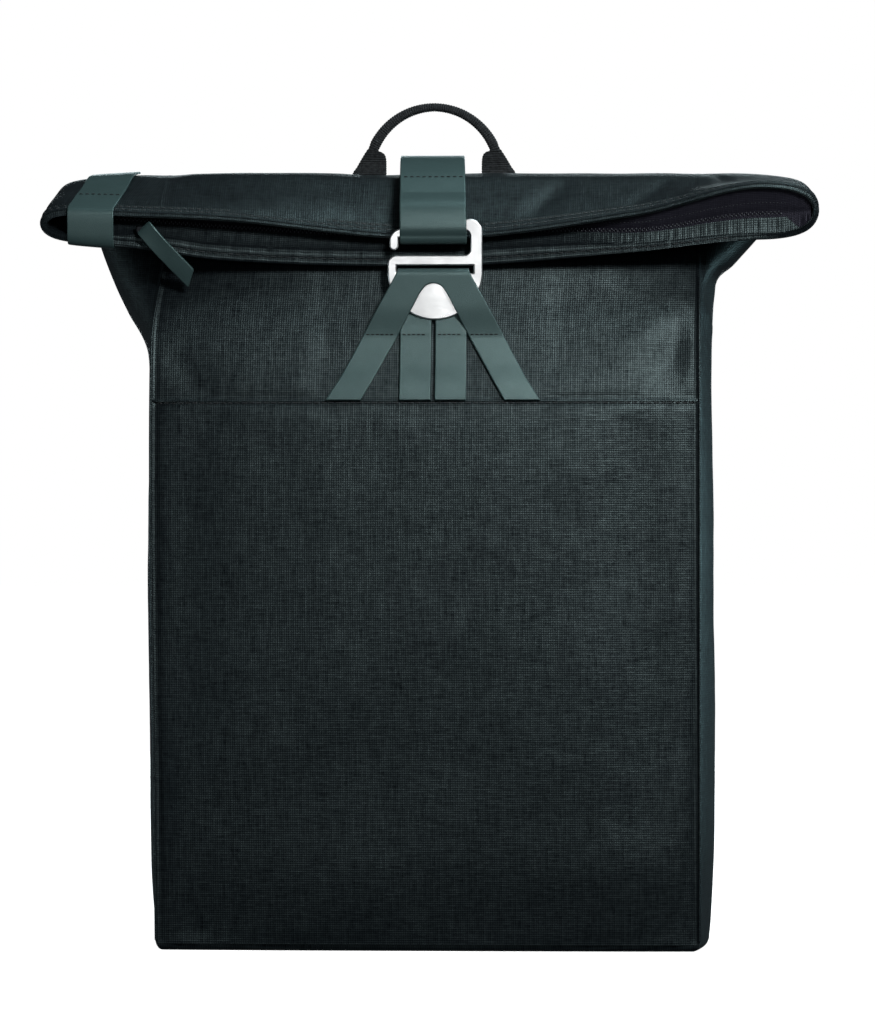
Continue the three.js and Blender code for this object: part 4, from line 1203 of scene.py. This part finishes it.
def make_hook():
    """Flat hook: an open arm above the crossbar, and below it a slot in a round plate."""
    top, half = CROSSBAR_TOP - HOOK_BAR, HOOK_RADIUS - SLOT_END
    slot = [(-half, top), (half, top), (half, top - SLOT_HEIGHT), (-half, top - SLOT_HEIGHT)]

    def dish(x, w, n):
        round_off = np.clip(1 - (x**2 + (w - PLATE_MIDDLE) ** 2) / PLATE_RADIUS**2, 0, 1)
        return np.stack([x + HOOK_X, HOOK_Y - n - PLATE_CROWN * round_off, w], -1) + CLOSURE

    loops = [resampled(hook_outline(), 1.2), resampled(slot, 1.2)]
    plate("hook_plate", "hook", loops, dish, HOOK_THICK, (2, 2), NICKEL_SKIN, 0.75)


def seated(x, z):
    """Middle of leather that lies on the upper front panel."""
    keys = np.linspace(POCKET, YOKE + 1, 400)
    s = np.interp(z, station(keys)["z"], keys)
    return front_point(s, (x + CLOSURE_X) / SEAM)[..., 1] - GAP - LEATHER / 2


def leather_y(x, z, over_plate):
    share = smoothstep(z, FORK_SEWN, FORK_LOW)
    return mix(seated(x, np.minimum(z, FORK_SEWN)), over_plate, share)


def fork_bend(x, w, n):
    """The flat strap laid on the hook's plate, round the slot's edge, and down behind the plate."""
    angle = np.clip((w - FORK_TOP) / FOLD_RADIUS, 0, math.pi)
    behind_z = FORK_TOP - (w - FOLD_END)
    turn_y = HOOK_Y - (FOLD_RADIUS + n) * np.cos(angle)
    turn_z = FORK_TOP + (FOLD_RADIUS + n) * np.sin(angle)
    front_y = leather_y(x, np.minimum(w, FORK_TOP), HOOK_Y - FOLD_RADIUS) - n
    back_y = leather_y(x, behind_z, HOOK_Y + FOLD_RADIUS) + n
    y = np.where(w < FORK_TOP, front_y, np.where(w > FOLD_END, back_y, turn_y))
    z = np.where(w < FORK_TOP, w, np.where(w > FOLD_END, behind_z, turn_z))
    return np.stack([x, y, z], -1) + CLOSURE


def fork_outline():
    """The strap laid flat: two legs, the fold at the top, and two tails beyond it."""
    z = np.linspace(FORK_END, FORK_TOP, 50)
    legs = np.linspace(FORK_END, FORK_LEG_TOP, 40)
    keys, outer_edge, inner_edge = FORK_EDGES[::-1].T
    inner = np.stack([np.interp(legs, keys, inner_edge), legs], -1)
    opening = np.concatenate([inner, spline([inner[-1], *FORK_NOTCH], 12)[1:]])
    end = FOLD_END + FORK_TOP - FORK_END
    right = np.concatenate([np.stack([np.interp(z, keys, outer_edge), z], -1), [
        (20.4, FORK_TOP + 2), (20.0, FOLD_END - 1), (TAIL_OUTER, FOLD_END + 3), (TAIL_OUTER, end),
        (TAIL_INNER, end), (TAIL_INNER, FOLD_END + 5),
    ]])
    mirror = (-1, 1)
    return resampled(np.concatenate([right, right[::-1] * mirror, opening * mirror, opening[-2::-1]]), 1.3)


def make_fork():
    """The forked strap. Returns the stitches across its legs and tails."""
    plate("forked_strap_leather", "forked_strap", [fork_outline()], fork_bend, LEATHER,
          (2.2, 1.3), HIDE_SKIN, 0.6)
    rows = []
    behind = FOLD_END + FORK_TOP - FORK_STITCH
    for (low, high), w, face in ((FORK_SEAMS, FORK_STITCH, 1), ((TAIL_INNER, TAIL_OUTER), behind, -1)):
        x = np.linspace(low + 0.9, high - 0.9, 30)
        for across in (x, -x[::-1]):
            points = fork_bend(across, np.full_like(x, w), np.full_like(x, face * LEATHER / 2))
            rows.append(stitch_parts(points, np.broadcast_to(FORWARD, points.shape), *FORK_THREAD))
    return rows


# Carry handle and shoulder straps
def make_handle():
    """Webbing sewn flat to the yoke, pinched together above it and folded double in the arch."""
    first = HANDLE_EDGES[0]
    root = [(first[0], y, z, first[2], y, z) for y, z in HANDLE_ROOT]
    neck = [(xi, HANDLE_Y, zi, xo, HANDLE_Y, zo) for xi, zi, xo, zo in HANDLE_EDGES]
    turns = np.linspace(HANDLE_ARCH[0, 0], 90, 12)
    angle = np.radians(turns)
    radii = [monotone(HANDLE_ARCH[:, 0], HANDLE_ARCH[:, k], turns) for k in (1, 2)]
    arch = np.concatenate([
        joined(r * np.cos(angle), HANDLE_Y, HANDLE_CENTRE_Z + r * np.sin(angle)) for r in radii
    ], 1)
    half = np.concatenate([root, neck, arch])
    edges = evenly(spline(np.concatenate([half, (half * (-1, 1, 1, -1, 1, 1))[-2::-1]]), 1200), 0.5)
    inner, outer = edges[:, :3], edges[:, 3:]
    path = (inner + outer) / 2 + np.array((HANDLE_X, 0, 0))
    wide = np.linalg.norm(outer - inner, axis=1, keepdims=True) / 2
    side = unit(outer - inner)
    back = unit(np.cross(tangents(path), side))
    run = running(path)
    rib = 0.13 * np.sin(2 * math.pi * run / RIB_PITCH)[:, None]
    deep = mix(1.1, HANDLE_GRIP / 2, smoothstep(path[:, 2:], 452, 468))
    turn = np.linspace(0, 2 * math.pi, 32, endpoint=False)
    square = [np.sign(v) * np.abs(v) ** 0.45 for v in (np.cos(turn), np.sin(turn))]
    ring = path[:, None]
    for way, reach, share in ((side, wide, square[0]), (back, deep, square[1])):
        ring = ring + way[:, None] * (share * (reach + rib))[..., None]
    handle = tube("carry_handle_webbing", ring, joined(turn * 5, run[:, None]), WEB_SKIN)
    stand_for(handle, "carry_handle")


def leaned(points, side):
    """From the adjuster's own upright frame to the bag."""
    tilt = math.radians(-side * ADJUSTER_TILT)
    x, y, z = np.moveaxis(points, -1, 0)
    turned = (x * math.cos(tilt) + z * math.sin(tilt), y, -x * math.sin(tilt) + z * math.cos(tilt))
    return np.stack(turned, -1) + np.array(ADJUSTER) * (side, 1, 1)


def ribbon(name, path, side):
    """Ribbed webbing along a path of (y, z) in the adjuster's frame."""
    bend, length = along_path(evenly(path, 0.5))
    across = STRAP_WEB_WIDTH * (dense_ends(12, 3, 0.06) - 0.5)[None]
    x, w = np.broadcast_arrays(across, np.arange(0, length, 0.45)[:, None])
    thin = np.sqrt(np.clip((STRAP_WEB_WIDTH / 2 - np.abs(x)) / 0.9, 0.08, 1))
    n = STRAP_WEB / 2 * thin + 0.1 * (np.sin(2 * math.pi * w / RIB_PITCH) - 1)
    faces = [bend(x.ravel(), w.ravel(), sign * n.ravel()).reshape(*n.shape, 3) for sign in (1, -1)]
    return slab(name, *(leaned(face, side) for face in faces), np.stack([x, w], -1), WEB_SKIN)


def pad_axes(side):
    """Middle of a pad, the ways across it and out of it, and half its width, point by point."""
    path = evenly(spline(np.array(PAD_PATH) * (side, 1, 1), 120), PAD_RING)
    along = tangents(path)
    across = unit(np.array((1.0, 0, 0)) - along * along[:, :1])
    half = (PAD_WIDTH / 2 - 0.6) * mix(1, PAD_TAPER, np.linspace(0, 1, len(path)))[:, None]
    return path, across, np.cross(along, across), half


def pad_depth(inwards):
    """Half the thickness of a pad by distance in from its edge: a thin sewn border, then foam."""
    share = np.clip(inwards / PAD_BORDER, 0, 1)
    border = PAD_BORDER * np.sqrt(share * (2 - share))
    return mix(border, PAD_THICK / 2 - 0.6, smoothstep(inwards, PAD_STITCH - 0.6, PAD_STITCH + 9))


def make_pad(side, word):
    """A pad whose foam swells between its stitched borders. Returns its stitches."""
    path, across, out, half = pad_axes(side)
    shares = dense_ends(22, 5, 0.05)
    place_on = np.concatenate([shares, shares[-2:0:-1]]) * 2 - 1
    face = np.repeat((1.0, -1.0), (len(shares), len(shares) - 2))
    inwards = half * (1 - np.abs(place_on))
    ends = np.minimum(np.arange(len(path)), np.arange(len(path))[::-1])[:, None] * PAD_RING
    depth = pad_depth(np.minimum(inwards, ends + 1.0)) * face
    rings = path[:, None] + across[:, None] * (half * place_on)[..., None] + out[:, None] * depth[..., None]
    uv = np.stack([rings[..., 0] + rings[..., 1], rings[..., 2]], -1)
    pad = tube(f"shoulder_pad_{word}_cloth", rings, uv, CLOTH_SKIN)
    foam = smoothstep(np.minimum(inwards, ends), PAD_STITCH, PAD_STITCH + 8).ravel()
    inflate(pad, np.concatenate([foam, (0, 0)]))
    stand_for(pad, f"shoulder_pad_{word}")
    rows = []
    for edge in (-1, 1):
        for front in (-1, 1):
            line = path + across * edge * (half - PAD_STITCH) + out * front * pad_depth(np.array(PAD_STITCH))
            rows.append(stitch_parts(line[3:-3], front * out[3:-3]))
    return rows


def apply_modifiers(piece):
    """The piece's mesh as its modifiers show it now, with no modifiers left."""
    graph = bpy.context.evaluated_depsgraph_get()
    made = bpy.data.meshes.new_from_object(piece.evaluated_get(graph))
    piece.modifiers.clear()
    piece.data = made


def corners(piece):
    co = np.empty(3 * len(piece.data.vertices), np.float32)
    piece.data.vertices.foreach_get("co", co)
    return co.reshape(-1, 3).astype(float)


def inflate(piece, foam):
    """Cloth simulation: foam swells the skin where there is foam, no further than PAD_SWELL."""
    start = corners(piece)
    skin = piece.modifiers.new("skin", "CLOTH")
    skin.settings.use_pressure = True
    skin.settings.uniform_pressure_force = PAD_PRESSURE
    skin.settings.effector_weights.gravity = 0.0
    scene = bpy.context.scene
    for number in range(1, PAD_FRAMES + 1):
        scene.frame_set(number)
    apply_modifiers(piece)
    scene.frame_set(1)
    moved = corners(piece) - start
    far = np.linalg.norm(moved, axis=1, keepdims=True)
    start = start + moved * np.minimum(1, PAD_SWELL / np.maximum(far, 1e-9)) * foam[:, None]
    piece.data.vertices.foreach_set("co", start.astype(np.float32).ravel())
    finer = piece.modifiers.new("finer", "SUBSURF")
    finer.levels = finer.render_levels = 1
    apply_modifiers(piece)
    piece.data.shade_smooth()


def make_shoulder_straps():
    """Pads, webbing and adjusters of both straps. Returns the pads' stitches."""
    rows = []
    for side, word in SIDES:
        rows += make_pad(side, word)
        root = UPPER_BAR + ADJUSTER_BAR + 10
        loop = [(WEB_REACH, root), *arc(0, UPPER_BAR + 0.2, WEB_REACH, 0, -180, 14), (-WEB_REACH, root)]
        ribbon(f"pad_loop_{word}", np.array(loop), side)
        low = spline([(-11.4, -128), (-10.5, -108), (-7, -62), (-WEB_REACH, -16), (-WEB_REACH, 0)], 60)
        turn = arc(0, ADJUSTER_BAR / 2 + 0.2, WEB_REACH, 180, 0, 14)
        tail = spline([turn[-1], (WEB_REACH, -16), (WEB_REACH + 1, -32), (WEB_REACH, -48)], 40)[1:]
        web = ribbon(f"strap_webbing_{word}_ribbed", np.concatenate([low, turn, tail]), side)
        stand_for(web, f"strap_webbing_{word}")
        frame_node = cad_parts[f"strap_adjuster_{word}"]
        frame_node.data.materials.clear()
        frame_node.data.materials.append(PLASTIC_SKIN)
        soften = frame_node.modifiers.new("soft_edges", "BEVEL")
        soften.width, soften.segments, soften.limit_method = 0.0006, 3, "ANGLE"
    return rows


# Stage, light and camera
def make_stage():
    pale = Shader("pale_floor")
    speck = pale.noise(pale.node("TexCoord", out=3), 40.0, 3.0, 0.5)
    tint = pale.ramp(speck, (0.3, (0.84, 0.84, 0.84)), (0.7, (0.88, 0.88, 0.88)))
    glow = {"Emission_Color": (1, 1, 1, 1)}
    skin = pale.finish(tint, 0.9, Emission_Strength=0.985, Specular_IOR_Level=0.0, **glow)
    bpy.ops.mesh.primitive_circle_add(vertices=96, radius=14, fill_type="NGON")
    floor = bpy.context.object
    floor.name = "floor"
    floor.data.materials.append(skin)
    bpy.ops.mesh.primitive_uv_sphere_add(segments=48, ring_count=24, radius=13.5)
    sky = bpy.context.object
    sky.name = "backdrop"
    white = Shader("backdrop_white")
    sky.data.materials.append(white.finish((0, 0, 0), 1.0, Emission_Strength=1.0, **glow))
    for thing in (floor, sky):
        thing.visible_diffuse = False
        thing.visible_glossy = False
    sky.visible_shadow = False


def area_light(name, place_at, target, size, power, tint, spread):
    lamp = bpy.data.lights.new(name, "AREA")
    lamp.shape, lamp.size, lamp.size_y = "RECTANGLE", *size
    lamp.energy, lamp.color, lamp.spread = power, tint, math.radians(spread)
    thing = bpy.data.objects.new(name, lamp)
    thing.location = place_at
    thing.visible_camera = False
    thing.rotation_euler = (Vector(target) - Vector(place_at)).to_track_quat("-Z", "Y").to_euler()
    bpy.context.scene.collection.objects.link(thing)


def make_light():
    for lamp in LAMPS:
        area_light(*lamp)
    world = bpy.data.worlds.new("studio")
    world.use_nodes = True
    background = world.node_tree.nodes["Background"].inputs
    background[0].default_value = SKY_TINT
    background[1].default_value = SKY_STRENGTH
    bpy.context.scene.world = world


def make_camera():
    lens = bpy.data.cameras.new("camera")
    lens.sensor_width = 36
    lens.lens = lens.sensor_width * CAMERA_DISTANCE / VIEW_HEIGHT
    lens.clip_end = 60
    camera = bpy.data.objects.new("camera", lens)
    azimuth = math.radians(CAMERA_AZIMUTH)
    camera.location = (
        CAMERA_DISTANCE * math.sin(azimuth) + CAMERA_ASIDE,
        -CAMERA_DISTANCE * math.cos(azimuth) - ORIGIN_SHIFT / 1000,
        CAMERA_HEIGHT,
    )
    camera.rotation_euler = (math.pi / 2, 0, azimuth)
    bpy.context.scene.collection.objects.link(camera)
    bpy.context.scene.camera = camera
    bpy.context.scene.view_settings.view_transform = "Standard"


make_panels()
make_seam_ridges()
make_base()
make_hem()
make_tape()
make_teeth()
make_slider()
leather_rows = make_end_tab()
leather_rows += make_closure_strap()
make_hook()
leather_rows += make_fork()
make_handle()
pad_rows = make_shoulder_straps()
stitching("cloth_stitches", [*hem_stitch_rows(), pocket_stitch_row(), *pad_rows], CLOTH_THREAD)
stitching("leather_stitches", leather_rows, HIDE_THREAD)
make_stage()
make_light()
make_camera()
